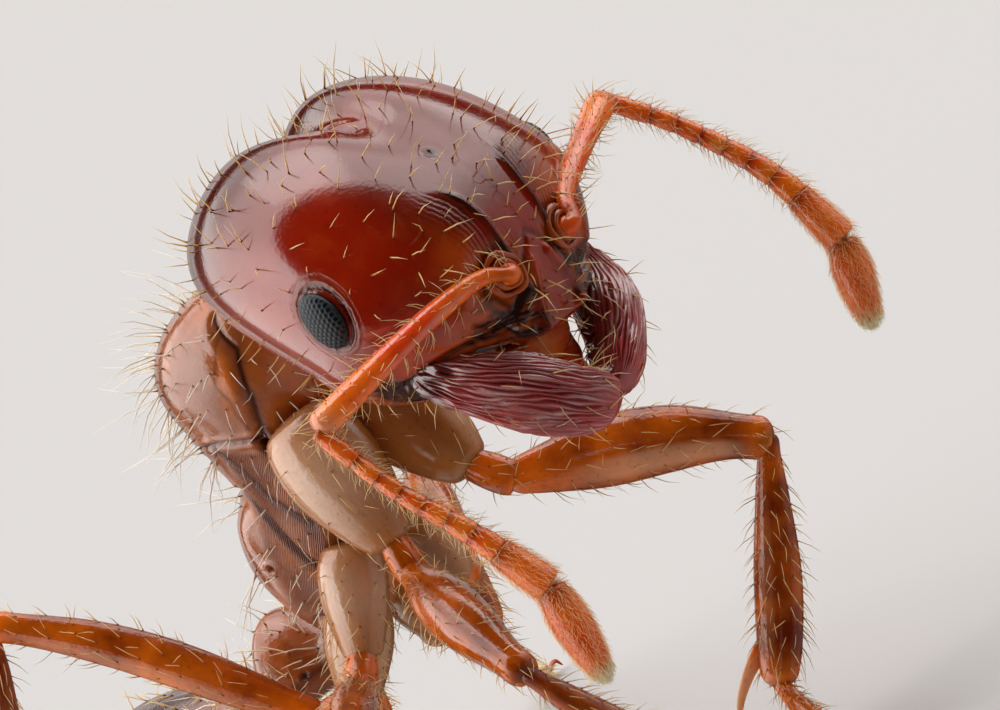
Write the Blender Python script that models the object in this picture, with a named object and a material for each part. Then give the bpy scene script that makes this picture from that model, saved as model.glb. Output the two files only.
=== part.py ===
"""Fire ant, major worker, life size, rearing on six feet.

The animal faces +X with its left side towards +Y. Every piece is drawn in millimetres in its own
frame and stored in metres. Three straight frames carry the body: the head, the trunk and the gaster,
each with x forward, y left and z towards its back. The legs and feelers are envelopes out to the
tips of their hairs, about half a millimetre thick.
"""
import math

import bmesh
import bpy
from mathutils import Matrix, Vector

MM = 0.001

# ---- the body, in millimetres -------------------------------------------------------------------
GAP = 0.02                    # clearance between neighbouring solids
HEAD_CENTRE = Vector((0.0, 0.0, 3.45))
HEAD_PITCH = 48.5             # degrees, face down
TRUNK_CENTRE = Vector((-1.67, 0.0, 2.64))
TRUNK_PITCH = -75.0
PETIOLE_ROOT = Vector((-1.96, 0.0, 1.50))
PETIOLE_PITCH = -14.0
POSTPETIOLE_ROOT = Vector((-2.79, 0.0, 1.29))
POSTPETIOLE_PITCH = -28.0
GASTER_ROOT = Vector((-3.17, 0.0, 1.06))
GASTER_PITCH = -20.0

HEAD_FRONT = 0.86             # from the head's centre to the clypeus
HEAD_BACK = 1.24              # and to the back of the lobes
HEAD_HALF_WIDTH = 0.98
HEAD_TOP = 0.68
HEAD_UNDER = 0.75
HEAD_FRONT_TAPER = (0.30, 0.25, 0.55)   # share of width, top and underside lost at the front
HEAD_DROOP = 0.25             # how far the lobes curve down behind
NOTCH_DEPTH = 0.34
NOTCH_HALF_WIDTH = 0.20
SOCKET = Vector((0.57, 0.27, 0.44))     # feeler socket, left side
EYE_CENTRE = Vector((-0.05, 0.97, 0.12))
EYE_RADII = (0.17, 0.075, 0.125)
EYE_ROLL = 25.0

TRUNK_TOP = ((-1.15, 0.00), (-0.98, 0.22), (-0.70, 0.43), (-0.40, 0.43), (-0.18, 0.34),
             (0.05, 0.43), (0.45, 0.55), (0.80, 0.44), (1.02, 0.15), (1.12, -0.08))
TRUNK_UNDER = ((-1.15, -0.14), (-0.90, -0.33), (-0.40, -0.40), (0.30, -0.36), (0.80, -0.33),
               (1.12, -0.24))
TRUNK_HALF_WIDTH = ((-1.15, 0.14), (-0.90, 0.27), (-0.50, 0.34), (-0.18, 0.34), (0.20, 0.43),
                    (0.60, 0.53), (0.90, 0.42), (1.12, 0.16))
TRUNK_CUTS = (-0.19, 0.26)    # propodeum, mesothorax, pronotum

GASTER_LENGTH = 2.15
GASTER_HALF_WIDTH = 0.76
GASTER_HALF_HEIGHT = 0.64
GASTER_CUTS = (0.30, 0.58, 0.80)        # shares of its length where the plates meet

FLOOR_SINK = 0.02             # how far the soles are cut flat
TARSUS_RADIUS = 0.24


def direction(azimuth, elevation):
    """Unit vector from two angles in degrees: azimuth from +X towards +Y, elevation upwards."""
    a, e = math.radians(azimuth), math.radians(elevation)
    return Vector((math.cos(a) * math.cos(e), math.sin(a) * math.cos(e), math.sin(e)))


def pitched(centre, pitch):
    """Frame at centre, turned nose down by pitch degrees about the left-right axis."""
    return Matrix.Translation(centre) @ Matrix.Rotation(math.radians(pitch), 4, "Y")


HEAD = pitched(HEAD_CENTRE, HEAD_PITCH)
TRUNK = pitched(TRUNK_CENTRE, TRUNK_PITCH)
GASTER = pitched(GASTER_ROOT, GASTER_PITCH)


def smooth_profile(stations, at):
    """Height of a smooth outline through the stations: a cubic with Catmull-Rom slopes."""
    last = len(stations) - 1
    if at <= stations[0][0]:
        return stations[0][1]
    if at >= stations[last][0]:
        return stations[last][1]
    i = max(k for k in range(last) if stations[k][0] <= at)

    def slope(k):
        low, high = stations[max(k - 1, 0)], stations[min(k + 1, last)]
        return (high[1] - low[1]) / (high[0] - low[0])

    (x0, y0), (x1, y1) = stations[i], stations[i + 1]
    step = x1 - x0
    t = (at - x0) / step
    return (y0 * (1 + 2 * t) * (1 - t) ** 2 + y1 * t * t * (3 - 2 * t)
            + step * (slope(i) * t * (1 - t) ** 2 - slope(i + 1) * t * t * (1 - t)))


def power(value, exponent):
    """Signed power, the rounding rule of a superellipse."""
    return math.copysign(abs(value) ** exponent, value)


# ---- making meshes --------------------------------------------------------------------------------
def new_collection(name):
    """Collection linked to the scene."""
    collection = bpy.data.collections.new(name)
    bpy.context.scene.collection.children.link(collection)
    return collection


def clear_scene():
    """Remove every object the file starts with."""
    for leftover in list(bpy.data.objects):
        bpy.data.objects.remove(leftover, do_unlink=True)


def make_material(name, colour, roughness, metallic=0.0):
    """Plain Principled material."""
    material = bpy.data.materials.new(name)
    material.use_nodes = True
    shader = material.node_tree.nodes["Principled BSDF"]
    shader.inputs["Base Color"].default_value = (*colour, 1.0)
    shader.inputs["Roughness"].default_value = roughness
    shader.inputs["Metallic"].default_value = metallic
    return material


def loft_mesh(rings):
    """Closed body through rings of points, with a flat fan over each end."""
    bm = bmesh.new()
    loops = [[bm.verts.new(point) for point in ring] for ring in rings]
    count = len(loops[0])
    for near, far in zip(loops, loops[1:]):
        for k in range(count):
            bm.faces.new((near[k], near[(k + 1) % count], far[(k + 1) % count], far[k]))
    bm.faces.new(reversed(loops[0]))
    bm.faces.new(loops[-1])
    bmesh.ops.triangulate(bm, faces=bm.faces[:])
    bmesh.ops.recalc_face_normals(bm, faces=bm.faces[:])
    return bm


def ring(centre, half_width, top, under, sides, roundness=2.0):
    """Section across x: a superellipse with its own upper and lower half."""
    points = []
    for k in range(sides):
        angle = 2 * math.pi * k / sides
        c, s = math.cos(angle), math.sin(angle)
        y = half_width * power(c, 2 / roundness)
        z = (top if s > 0 else under) * power(s, 2 / roundness)
        points.append(Vector(centre) + Vector((0.0, y, z)))
    return points


def tube_mesh(points, radii):
    """Tube along the points as a bevelled curve made a mesh, ten sided, with closed ends."""
    curve = bpy.data.curves.new("route", "CURVE")
    curve.dimensions = "3D"
    curve.bevel_depth = 1.0
    curve.bevel_resolution = 3
    curve.use_fill_caps = True
    curve.resolution_u = 1
    spline = curve.splines.new("POLY")
    spline.points.add(len(points) - 1)
    for target, point, radius in zip(spline.points, points, radii):
        target.co = (*point, 1.0)
        target.radius = radius
    holder = bpy.data.objects.new("route", curve)
    bpy.context.scene.collection.objects.link(holder)
    graph = bpy.context.evaluated_depsgraph_get()
    mesh = bpy.data.meshes.new_from_object(holder.evaluated_get(graph))
    bm = bmesh.new()
    bm.from_mesh(mesh)
    bmesh.ops.remove_doubles(bm, verts=bm.verts[:], dist=1e-5)
    bmesh.ops.recalc_face_normals(bm, faces=bm.faces[:])
    bpy.data.objects.remove(holder, do_unlink=True)
    bpy.data.curves.remove(curve)
    bpy.data.meshes.remove(mesh)
    return bm


def trim(bm, point, normal):
    """Keep the half of a body behind the plane and close the cut."""
    everything = bm.verts[:] + bm.edges[:] + bm.faces[:]
    cut = bmesh.ops.bisect_plane(bm, geom=everything, dist=1e-5, plane_co=point, plane_no=normal,
                                 clear_outer=True)
    rim = [part for part in cut["geom_cut"] if isinstance(part, bmesh.types.BMEdge)]
    if rim:
        bmesh.ops.edgeloop_fill(bm, edges=rim)
    bmesh.ops.triangulate(bm, faces=bm.faces[:])
    bmesh.ops.recalc_face_normals(bm, faces=bm.faces[:])
    return bm


class Builder:
    """Puts finished bodies into the scene under one root."""

    def __init__(self):
        self.parts = new_collection("fire_ant")
        self.cutters = new_collection("cutters")
        self.root = bpy.data.objects.new("fire_ant_root", None)
        self.parts.objects.link(self.root)
        self.materials = {
            "cuticle": make_material("cuticle", (0.33, 0.09, 0.035), 0.22),
            "limb": make_material("limb", (0.50, 0.15, 0.045), 0.28),
            "jaw": make_material("jaw", (0.10, 0.018, 0.012), 0.25),
            "eye": make_material("eye", (0.05, 0.07, 0.09), 0.35),
            "gaster": make_material("gaster", (0.16, 0.045, 0.025), 0.2),
        }

    def place(self, name, bm, material, frame=None):
        """Store a body drawn in millimetres as an object in the given frame."""
        bmesh.ops.scale(bm, vec=(MM, MM, MM), verts=bm.verts[:])
        mesh = bpy.data.meshes.new(name)
        bm.to_mesh(mesh)
        bm.free()
        mesh.materials.append(self.materials[material])
        mesh.shade_smooth()
        mesh.set_sharp_from_angle(angle=math.radians(40))
        body = bpy.data.objects.new(name, mesh)
        self.parts.objects.link(body)
        body.parent = self.root
        if frame is not None:
            body.matrix_basis = Matrix.Translation(frame.to_translation() * MM) @ frame.to_3x3().to_4x4()
        return body

    def keep_clear(self, body, neighbour, gap=GAP):
        """Cut a body back from its neighbour, grown by the gap along its normals."""
        bm = bmesh.new()
        bm.from_mesh(neighbour.data)
        bm.normal_update()
        shifts = [vert.normal * gap * MM for vert in bm.verts]
        for vert, shift in zip(bm.verts, shifts):
            vert.co += shift
        mesh = bpy.data.meshes.new("cut_" + body.name)
        bm.to_mesh(mesh)
        bm.free()
        cutter = bpy.data.objects.new("cut_" + body.name, mesh)
        self.cutters.objects.link(cutter)
        cutter.parent = self.root
        cutter.matrix_basis = neighbour.matrix_basis.copy()
        cutter.hide_render = True
        cutter.display_type = "WIRE"
        cut = body.modifiers.new("clear", "BOOLEAN")
        cut.operation = "DIFFERENCE"
        cut.solver = "EXACT"
        cut.object = cutter

    def centre_on_floor(self):
        """Move the root so that the feet's box has its bottom centre at the origin."""
        bpy.context.view_layer.update()
        corners = [body.matrix_world @ vert.co for body in self.parts.objects
                   if body.type == "MESH" for vert in body.data.vertices]
        for axis in (0, 1):
            values = [corner[axis] for corner in corners]
            self.root.location[axis] -= (min(values) + max(values)) / 2
        self.root.location[2] -= min(corner[2] for corner in corners)


# ---- head -------------------------------------------------------------------------------------------
def head_point(along, around):
    """Point of the head's surface from two angles: along from front to back, around from the left."""
    front = math.cos(along) > 0
    rounding = 2 / (2.0 if front else 3.1)
    x = (HEAD_FRONT if front else HEAD_BACK) * power(math.cos(along), rounding)
    spread = power(math.sin(along), rounding)
    nose = max(x / HEAD_FRONT, 0.0) ** 2
    rear = max(-x / HEAD_BACK, 0.0)
    taper_width, taper_top, taper_under = HEAD_FRONT_TAPER
    c, s = power(math.cos(around), 0.93), power(math.sin(around), 0.93)
    y = HEAD_HALF_WIDTH * (1 - taper_width * nose) * spread * c
    if s > 0:
        z = HEAD_TOP * (1 - taper_top * nose) * spread * s
    else:
        z = HEAD_UNDER * (1 - taper_under * nose) * spread * s
    valley = math.exp(-((y / NOTCH_HALF_WIDTH) ** 2))
    x += NOTCH_DEPTH * valley * rear ** 3
    z -= HEAD_DROOP * rear ** 2 + 0.10 * valley * rear * max(s, 0.0)
    return Vector((x, y, z))


def add_head(build):
    """Head capsule from a sphere whose poles lie fore and aft."""
    bm = bmesh.new()
    bmesh.ops.create_uvsphere(bm, u_segments=28, v_segments=18, radius=1.0)
    for vert in bm.verts:
        unit = vert.co.normalized()
        along = math.acos(max(-1.0, min(1.0, unit.z)))
        around = math.atan2(unit.y, unit.x)
        vert.co = head_point(along, around)
    bmesh.ops.triangulate(bm, faces=bm.faces[:])
    bmesh.ops.recalc_face_normals(bm, faces=bm.faces[:])
    return build.place("head", bm, "cuticle", HEAD)


def add_eye(build, side, sign, head):
    """Low oval dome on the side of the head."""
    bm = bmesh.new()
    bmesh.ops.create_uvsphere(bm, u_segments=14, v_segments=8, radius=1.0)
    centre = Vector((EYE_CENTRE.x, sign * EYE_CENTRE.y, EYE_CENTRE.z))
    turn = Matrix.Rotation(math.radians(EYE_ROLL), 4, "Y")
    for vert in bm.verts:
        local = Vector((vert.co.x * EYE_RADII[0], vert.co.y * EYE_RADII[1], vert.co.z * EYE_RADII[2]))
        vert.co = centre + turn @ local
    body = build.place("eye_" + side, bm, "eye", HEAD)
    build.keep_clear(body, head, 0.006)


JAW_STATIONS = (              # along, across, height, half depth, half width
    (0.58, 0.56, -0.06, 0.13, 0.12),
    (0.76, 0.52, -0.07, 0.20, 0.16),
    (0.95, 0.42, -0.09, 0.22, 0.17),
    (1.12, 0.29, -0.11, 0.20, 0.15),
    (1.22, 0.17, -0.13, 0.16, 0.12),
    (1.28, 0.08, -0.15, 0.10, 0.07),
)


def add_jaw(build, side, sign, head):
    """Stout mandible, curving from the corner of the head to the midline."""
    centres = [Vector((x, sign * y, z)) for x, y, z, _, _ in JAW_STATIONS]
    rings = []
    for i, (centre, station) in enumerate(zip(centres, JAW_STATIONS)):
        ahead = centres[min(i + 1, len(centres) - 1)] - centres[max(i - 1, 0)]
        across = ahead.cross(Vector((0, 0, 1))).normalized()
        up = across.cross(ahead).normalized()
        rings.append([centre + across * station[4] * math.cos(a) + up * station[3] * math.sin(a)
                      for a in (2 * math.pi * k / 12 for k in range(12))])
    body = build.place("mandible_" + side, trim(loft_mesh(rings), (0, sign * GAP / 2, 0), (0, -sign, 0)),
                       "jaw", HEAD)
    build.keep_clear(body, head)


def add_mouth(build, head):
    """Folded mouthparts under the clypeus, between the mandibles."""
    rings = [ring((x, 0.0, -0.20), wide, 0.11, 0.12, 12) for x, wide in
             ((0.55, 0.20), (0.75, 0.26), (0.92, 0.24), (1.02, 0.14))]
    body = build.place("mouthparts", loft_mesh(rings), "jaw", HEAD)
    build.keep_clear(body, head)


# ---- trunk ------------------------------------------------------------------------------------------
def trunk_rings():
    """Sections of the whole trunk, close together where the ends round off."""
    rings = []
    count = 26
    low, high = TRUNK_TOP[0][0], TRUNK_TOP[-1][0]
    for k in range(count):
        x = low + (high - low) * (0.5 - 0.5 * math.cos(math.pi * k / (count - 1)))
        top = smooth_profile(TRUNK_TOP, x)
        under = smooth_profile(TRUNK_UNDER, x)
        middle = (top + under) / 2
        half = (top - under) / 2
        rings.append(ring((x, 0.0, middle), smooth_profile(TRUNK_HALF_WIDTH, x), half, half, 18, 2.3))
    return rings


def add_trunk(build, head):
    """Trunk as one body, parted by two thin cuts."""
    names = ("propodeum", "mesothorax", "pronotum")
    edges = (None, *TRUNK_CUTS, None)
    bodies = {}
    for name, rear, front in zip(names, edges, edges[1:]):
        bm = loft_mesh(trunk_rings())
        if rear is not None:
            trim(bm, (rear + GAP / 2, 0, 0), (-1, 0, 0))
        if front is not None:
            trim(bm, (front - GAP / 2, 0, 0), (1, 0, 0))
        bodies[name] = build.place(name, bm, "cuticle", TRUNK)
    build.keep_clear(bodies["pronotum"], head)
    return bodies


def add_waist(build):
    """Petiole with its thin high node, and the broad low postpetiole."""
    petiole = [ring((-x, 0.0, 0.0), wide, top, under, 14) for x, wide, top, under in
               ((0.0, 0.13, 0.11, 0.13), (0.22, 0.16, 0.14, 0.14), (0.38, 0.29, 0.34, 0.15),
                (0.52, 0.34, 0.42, 0.16), (0.64, 0.30, 0.33, 0.16), (0.80, 0.17, 0.13, 0.13))]
    build.place("petiole", loft_mesh(petiole), "cuticle", pitched(PETIOLE_ROOT, PETIOLE_PITCH))
    post = [ring((-x, 0.0, 0.0), wide, top, under, 14) for x, wide, top, under in
            ((0.0, 0.15, 0.10, 0.11), (0.08, 0.25, 0.22, 0.18), (0.20, 0.36, 0.29, 0.22),
             (0.32, 0.35, 0.25, 0.20), (0.42, 0.24, 0.15, 0.15))]
    build.place("postpetiole", loft_mesh(post), "cuticle", pitched(POSTPETIOLE_ROOT, POSTPETIOLE_PITCH))


def gaster_rings():
    """Sections of the whole gaster: an egg that starts blunt and ends in a point."""
    rings = []
    count = 26
    for k in range(count):
        share = 0.5 - 0.5 * math.cos(math.pi * (0.04 + 0.955 * k / (count - 1)))
        girth = (math.sin(math.pi * share ** 0.72)) ** 0.62
        rings.append(ring((-GASTER_LENGTH * share, 0.0, -0.04 * share), GASTER_HALF_WIDTH * girth,
                          GASTER_HALF_HEIGHT * girth, GASTER_HALF_HEIGHT * girth * 0.95, 18))
    return rings


def add_gaster(build):
    """Gaster as one body, parted where its four big plates meet."""
    edges = (None, *GASTER_CUTS, None)
    for k, (front, rear) in enumerate(zip(edges, edges[1:])):
        bm = loft_mesh(gaster_rings())
        if front is not None:
            trim(bm, (-GASTER_LENGTH * front - GAP / 2, 0, 0), (1, 0, 0))
        if rear is not None:
            trim(bm, (-GASTER_LENGTH * rear + GAP / 2, 0, 0), (-1, 0, 0))
        build.place("gaster_" + str(k + 1), bm, "gaster", GASTER)


# ---- legs and feelers ---------------------------------------------------------------------------------
class Leg:
    """One leg: where it leaves the trunk and the direction of each joint's length."""

    def __init__(self, pair, side, root, coxa, trochanter, femur, tibia, tarsus):
        self.pair = pair
        self.side = side
        self.sign = 1 if side == "left" else -1
        lengths = LEG_LENGTHS[pair]
        self.joints = [TRUNK @ Vector((root[0], self.sign * root[1], root[2]))]
        for length, angles in zip(lengths, (coxa, trochanter, femur, tibia)):
            step = direction(self.sign * angles[0], angles[1]) * length
            self.joints.append(self.joints[-1] + step)
        self.heading = direction(self.sign * tarsus, 0.0)
        self.tarsus_length = lengths[4]

    def foot(self):
        """Points of the tarsus: an arc from the shin's end that lays itself along the floor."""
        start = self.joints[-1]
        level = TARSUS_RADIUS - FLOOR_SINK
        drop = start.z - level
        reach = math.sqrt(max(self.tarsus_length ** 2 - drop ** 2, 0.2))
        bend = start + self.heading * reach * 0.25
        bend.z = level
        tip = start + self.heading * reach
        tip.z = level
        return [start * (1 - t) ** 2 + bend * 2 * t * (1 - t) + tip * t * t
                for t in (0.0, 0.15, 0.3, 0.45, 0.6, 0.75, 0.9, 1.0)]


LEG_LENGTHS = {               # coxa, trochanter, femur, tibia, tarsus
    "fore": (0.80, 0.24, 1.40, 1.29, 1.05),
    "mid": (0.55, 0.22, 1.55, 1.25, 1.20),
    "hind": (0.50, 0.22, 1.92, 1.50, 1.45),
}
LEG_RADII = {                 # start, belly and end of each length
    "fore": ((0.24, 0.28, 0.19), (0.19, 0.20, 0.20), (0.22, 0.27, 0.25), (0.24, 0.26, 0.25)),
    "mid": ((0.19, 0.22, 0.18), (0.18, 0.19, 0.19), (0.21, 0.26, 0.25), (0.24, 0.26, 0.25)),
    "hind": ((0.19, 0.22, 0.18), (0.18, 0.19, 0.19), (0.21, 0.26, 0.25), (0.24, 0.26, 0.25)),
}
LEG_PARTS = ("coxa", "trochanter", "femur", "tibia")
LEGS = (                      # root in the trunk's frame, then azimuth and elevation of each length
    ("fore", "left", (0.30, 0.26, -0.30), (0, -54), (25, -45), (42, -20), (-109, -61), -32),
    ("fore", "right", (0.30, 0.26, -0.30), (10, -70), (35, -62), (31, -19), (-76, -59), 15),
    ("mid", "left", (-0.50, 0.22, -0.34), (104, -66), (125, -25), (135, 15), (146, -68), 130),
    ("mid", "right", (-0.50, 0.22, -0.34), (104, -66), (75, -35), (52, -2), (95, -72), 75),
    ("hind", "left", (-0.86, 0.20, -0.26), (128, -62), (150, -10), (150, 41), (150, -72), 150),
    ("hind", "right", (-0.86, 0.20, -0.26), (128, -62), (150, -10), (151, 41), (148, -72), 150),
)


def limb_mesh(start, end, radii, before=None, after=None):
    """One straight length, mitred against the lengths before and after it.

    before and after are the directions of those lengths, or None at a free end.
    """
    along = (end - start).normalized()
    length = (end - start).length
    first, belly, last = radii
    stations = [(0.0, first), (0.2, (first + belly) / 2), (0.45, belly), (0.75, (belly + last) / 2),
                (1.0, last)]
    points = [start + along * length * share for share, _ in stations]
    widths = [radius for _, radius in stations]
    if before is not None:
        points.insert(0, start - along * first * 0.9)
        widths.insert(0, first * 0.55)
    if after is not None:
        points.append(end + along * last * 0.9)
        widths.append(last * 0.55)
    bm = tube_mesh(points, widths)
    if before is not None:
        normal = (before + along).normalized()
        trim(bm, start + normal * GAP / 2, -normal)
    if after is not None:
        normal = (after + along).normalized()
        trim(bm, end - normal * GAP / 2, normal)
    return bm


def moved(bm, origin):
    """Shift a body so that the origin lies at its own zero, and give its frame."""
    bmesh.ops.translate(bm, vec=-origin, verts=bm.verts[:])
    return Matrix.Translation(origin)


def add_leg(build, leg, trunk):
    """Coxa, trochanter, femur, tibia and tarsus of one leg."""
    joints = leg.joints
    steps = [(b - a).normalized() for a, b in zip(joints, joints[1:])]
    foot = leg.foot()
    steps.append((foot[1] - foot[0]).normalized())
    tag = "_" + leg.pair + "_" + leg.side
    for i, part in enumerate(LEG_PARTS):
        before = steps[i - 1] if i else None
        bm = limb_mesh(joints[i], joints[i + 1], LEG_RADII[leg.pair][i], before, steps[i + 1])
        if part == "coxa":
            trim(bm, (0, leg.sign * GAP / 2, 0), (0, -leg.sign, 0))
        frame = moved(bm, joints[i])
        body = build.place(part + tag, bm, "limb", frame)
        if part == "coxa":
            build.keep_clear(body, trunk)
    widths = [TARSUS_RADIUS] * (len(foot) - 2) + [TARSUS_RADIUS * 0.92, TARSUS_RADIUS * 0.6]
    lead = foot[0] - steps[-1] * TARSUS_RADIUS * 0.9
    bm = tube_mesh([lead] + foot, [TARSUS_RADIUS * 0.55] + widths)
    normal = (steps[-2] + steps[-1]).normalized()
    trim(bm, foot[0] + normal * GAP / 2, -normal)
    trim(bm, (0, 0, 0), (0, 0, -1))
    build.place("tarsus" + tag, bm, "limb", moved(bm, foot[0]))


FEELER_ROUTES = {             # elbow, two bends, root of the club, its tip; from the head's centre
    "right": ((0.17, -1.50, -0.28), (0.36, -1.46, -0.80), (0.58, -1.40, -1.25), (0.76, -1.30, -1.60),
              (0.93, -1.25, -2.10)),
    "left": ((0.18, 1.46, 0.12), (0.42, 1.66, -0.22), (0.70, 1.80, -0.66), (0.90, 1.83, -1.12),
             (0.92, 1.70, -1.60)),
}


def add_feeler(build, side, sign, head):
    """Scape from its socket to the elbow, then the ringed whip and the two-jointed club."""
    socket = HEAD @ Vector((SOCKET.x, sign * SOCKET.y, SOCKET.z))
    elbow, bend_a, bend_b, club, tip = [HEAD_CENTRE + Vector(point) for point in FEELER_ROUTES[side]]
    root = socket + (elbow - socket) * 0.12 + (HEAD.to_3x3() @ Vector((0, sign * 0.05, 0.10)))
    whip_start = (bend_a - elbow).normalized()
    scape_end = (elbow - root).normalized()
    bm = limb_mesh(root, elbow, (0.12, 0.24, 0.25), None, whip_start)
    body = build.place("scape_" + side, bm, "limb", moved(bm, root))
    build.keep_clear(body, head)
    club_way = (tip - club).normalized()
    route = [elbow - whip_start * 0.2, elbow, (elbow + bend_a) / 2, bend_a, (bend_a + bend_b) / 2, bend_b,
             (bend_b + club) / 2, club, club + club_way * 0.1]
    bm = tube_mesh(route, [0.15, 0.24, 0.25, 0.25, 0.25, 0.25, 0.25, 0.25, 0.25])
    normal = (scape_end + whip_start).normalized()
    trim(bm, elbow + normal * GAP / 2, -normal)
    trim(bm, club - club_way * GAP / 2, club_way)
    build.place("funiculus_" + side, bm, "limb", moved(bm, elbow))
    middle = (club + tip) / 2
    route = [club - club_way * 0.1, club, middle, tip - club_way * 0.15, tip]
    bm = tube_mesh(route, [0.25, 0.25, 0.26, 0.22, 0.12])
    trim(bm, club + club_way * GAP / 2, -club_way)
    build.place("club_" + side, bm, "limb", moved(bm, club))


def trunk_cutter(build):
    """The whole trunk, as a guide that the coxae are cut back from."""
    guide = build.place("cut_trunk", loft_mesh(trunk_rings()), "cuticle", TRUNK)
    build.parts.objects.unlink(guide)
    build.cutters.objects.link(guide)
    guide.hide_render = True
    guide.display_type = "WIRE"
    return guide


def main():
    """Build the animal from the head backwards."""
    clear_scene()
    build = Builder()
    head = add_head(build)
    add_mouth(build, head)
    for side, sign in (("left", 1), ("right", -1)):
        add_eye(build, side, sign, head)
        add_jaw(build, side, sign, head)
        add_feeler(build, side, sign, head)
    add_trunk(build, head)
    add_waist(build)
    add_gaster(build)
    guide = trunk_cutter(build)
    for row in LEGS:
        add_leg(build, Leg(*row), guide)
    build.centre_on_floor()


main()
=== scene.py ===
"""Looks of the fire ant: a large worker rearing on six feet, life size.

Shapes are drawn in millimetres around the head's centre line (x where the ant faces, y its left, z up
from the floor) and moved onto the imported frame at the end, in metres.
"""
from __future__ import annotations

import logging
import math
from dataclasses import dataclass, field, replace
from enum import Enum
from typing import Callable, Sequence

import bpy
import numpy as np
from mathutils import Matrix, Vector


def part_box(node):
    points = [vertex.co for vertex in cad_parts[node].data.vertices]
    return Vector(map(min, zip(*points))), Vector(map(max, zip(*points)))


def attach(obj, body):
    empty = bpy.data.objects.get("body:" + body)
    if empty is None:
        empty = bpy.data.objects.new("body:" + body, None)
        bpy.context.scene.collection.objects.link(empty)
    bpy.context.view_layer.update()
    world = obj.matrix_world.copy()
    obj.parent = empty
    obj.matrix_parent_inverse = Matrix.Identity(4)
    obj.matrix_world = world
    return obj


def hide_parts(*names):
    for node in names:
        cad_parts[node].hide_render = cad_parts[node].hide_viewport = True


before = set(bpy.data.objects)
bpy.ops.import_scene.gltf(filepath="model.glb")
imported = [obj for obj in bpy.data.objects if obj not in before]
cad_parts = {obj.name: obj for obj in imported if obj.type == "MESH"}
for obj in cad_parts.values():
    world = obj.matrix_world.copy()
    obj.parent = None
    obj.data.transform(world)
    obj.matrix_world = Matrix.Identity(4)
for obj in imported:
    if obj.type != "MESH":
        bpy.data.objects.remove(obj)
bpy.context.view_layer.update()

LOG = logging.getLogger("fire_ant")
Array = np.ndarray
Colour = tuple[float, float, float]
Point = tuple[float, float, float]
Line = tuple[tuple[float, float], ...]
Table = tuple[tuple[float, ...], ...]

MM = 0.001
SEED = 20
TINY = 1e-12                         # keeps a division away from zero


class Side(Enum):
    """The two sides of the animal."""

    LEFT = "left"
    RIGHT = "right"

    @property
    def sign(self) -> int:
        """One on the left, where y grows, and minus one on the right."""
        return 1 if self is Side.LEFT else -1


# ---- small maths ----
def unit(vectors: Array) -> Array:
    """Vectors scaled to length one along the last axis."""
    return vectors / np.maximum(np.linalg.norm(vectors, axis=-1, keepdims=True), TINY)


def angles(count: int) -> Array:
    """Angles round a ring, evenly spread."""
    return 2 * np.pi * np.arange(count) / count


def held(value: Array) -> Array:
    """Value held between zero and one."""
    return np.clip(value, 0.0, 1.0)


def tilts(count: int) -> Array:
    """Angles from pole to pole of a ball, stopping just short of both."""
    return np.pi * (0.004 + 0.992 * np.linspace(0, 1, count))


def direction(azimuth: float, elevation: float) -> Array:
    """Unit vector from an azimuth (from +X towards +Y) and an elevation, both in degrees."""
    a, e = math.radians(azimuth), math.radians(elevation)
    return np.array([math.cos(a) * math.cos(e), math.sin(a) * math.cos(e), math.sin(e)])


def bell(distance: Array, width: float) -> Array:
    """Smooth bump: one at no distance, falling off as a Gaussian of that width."""
    return np.exp(-((distance / width) ** 2))


def step(edge_low: float, edge_high: float, value: Array) -> Array:
    """Smooth step from zero at the low edge to one at the high edge."""
    t = held((value - edge_low) / (edge_high - edge_low))
    return t * t * (3 - 2 * t)


def profile(stations: Line | Array, at: Array) -> Array:
    """Smooth outline through stations: a cubic between neighbours with Catmull-Rom slopes.

    Args:
        stations: places and the outline's height there.
        at: places to read it at, held to the first and last station.

    Returns:
        Heights of the outline.
    """
    xs, ys = np.array(stations, dtype=float).T
    low, high = np.roll(np.arange(len(xs)), 1), np.roll(np.arange(len(xs)), -1)
    low[0], high[-1] = 0, len(xs) - 1
    slopes = (ys[high] - ys[low]) / (xs[high] - xs[low])
    at = np.clip(at, xs[0], xs[-1])
    i = np.clip(np.searchsorted(xs, at, side="right") - 1, 0, len(xs) - 2)
    width = xs[i + 1] - xs[i]
    t = (at - xs[i]) / width
    rise = ys[i] * (1 + 2 * t) * (1 - t) ** 2 + ys[i + 1] * t * t * (3 - 2 * t)
    return rise + width * (slopes[i] * t * (1 - t) ** 2 - slopes[i + 1] * t * t * (1 - t))


def curve(points: Sequence[Sequence[float]], count: int) -> Array:
    """Smooth path through a few points: each coordinate is a profile over the distance walked.

    Args:
        points: places that it passes through.
        count: how many points to give back.

    Returns:
        Points spread evenly over the walk.
    """
    knots = np.array(points, dtype=float)
    walked = np.concatenate([[0.0], np.cumsum(np.linalg.norm(np.diff(knots, axis=0), axis=1))])
    at = np.linspace(0.0, walked[-1], count)
    return np.stack([profile(np.stack([walked, knots[:, k]], 1), at) for k in range(3)], axis=1)


def line_distance(p: Array, q: Array, line: Line) -> Array:
    """Distance in a plane from the points (p, q) to a broken line.

    Args:
        p: first coordinates.
        q: second coordinates.
        line: corners of the broken line.

    Returns:
        The least of the distances to its pieces.
    """
    best = np.full(p.shape, np.inf)
    for (ax, ay), (bx, by) in zip(line, line[1:]):
        dx, dy = bx - ax, by - ay
        t = held(((p - ax) * dx + (q - ay) * dy) / (dx * dx + dy * dy))
        best = np.minimum(best, np.hypot(p - ax - t * dx, q - ay - t * dy))
    return best


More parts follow.
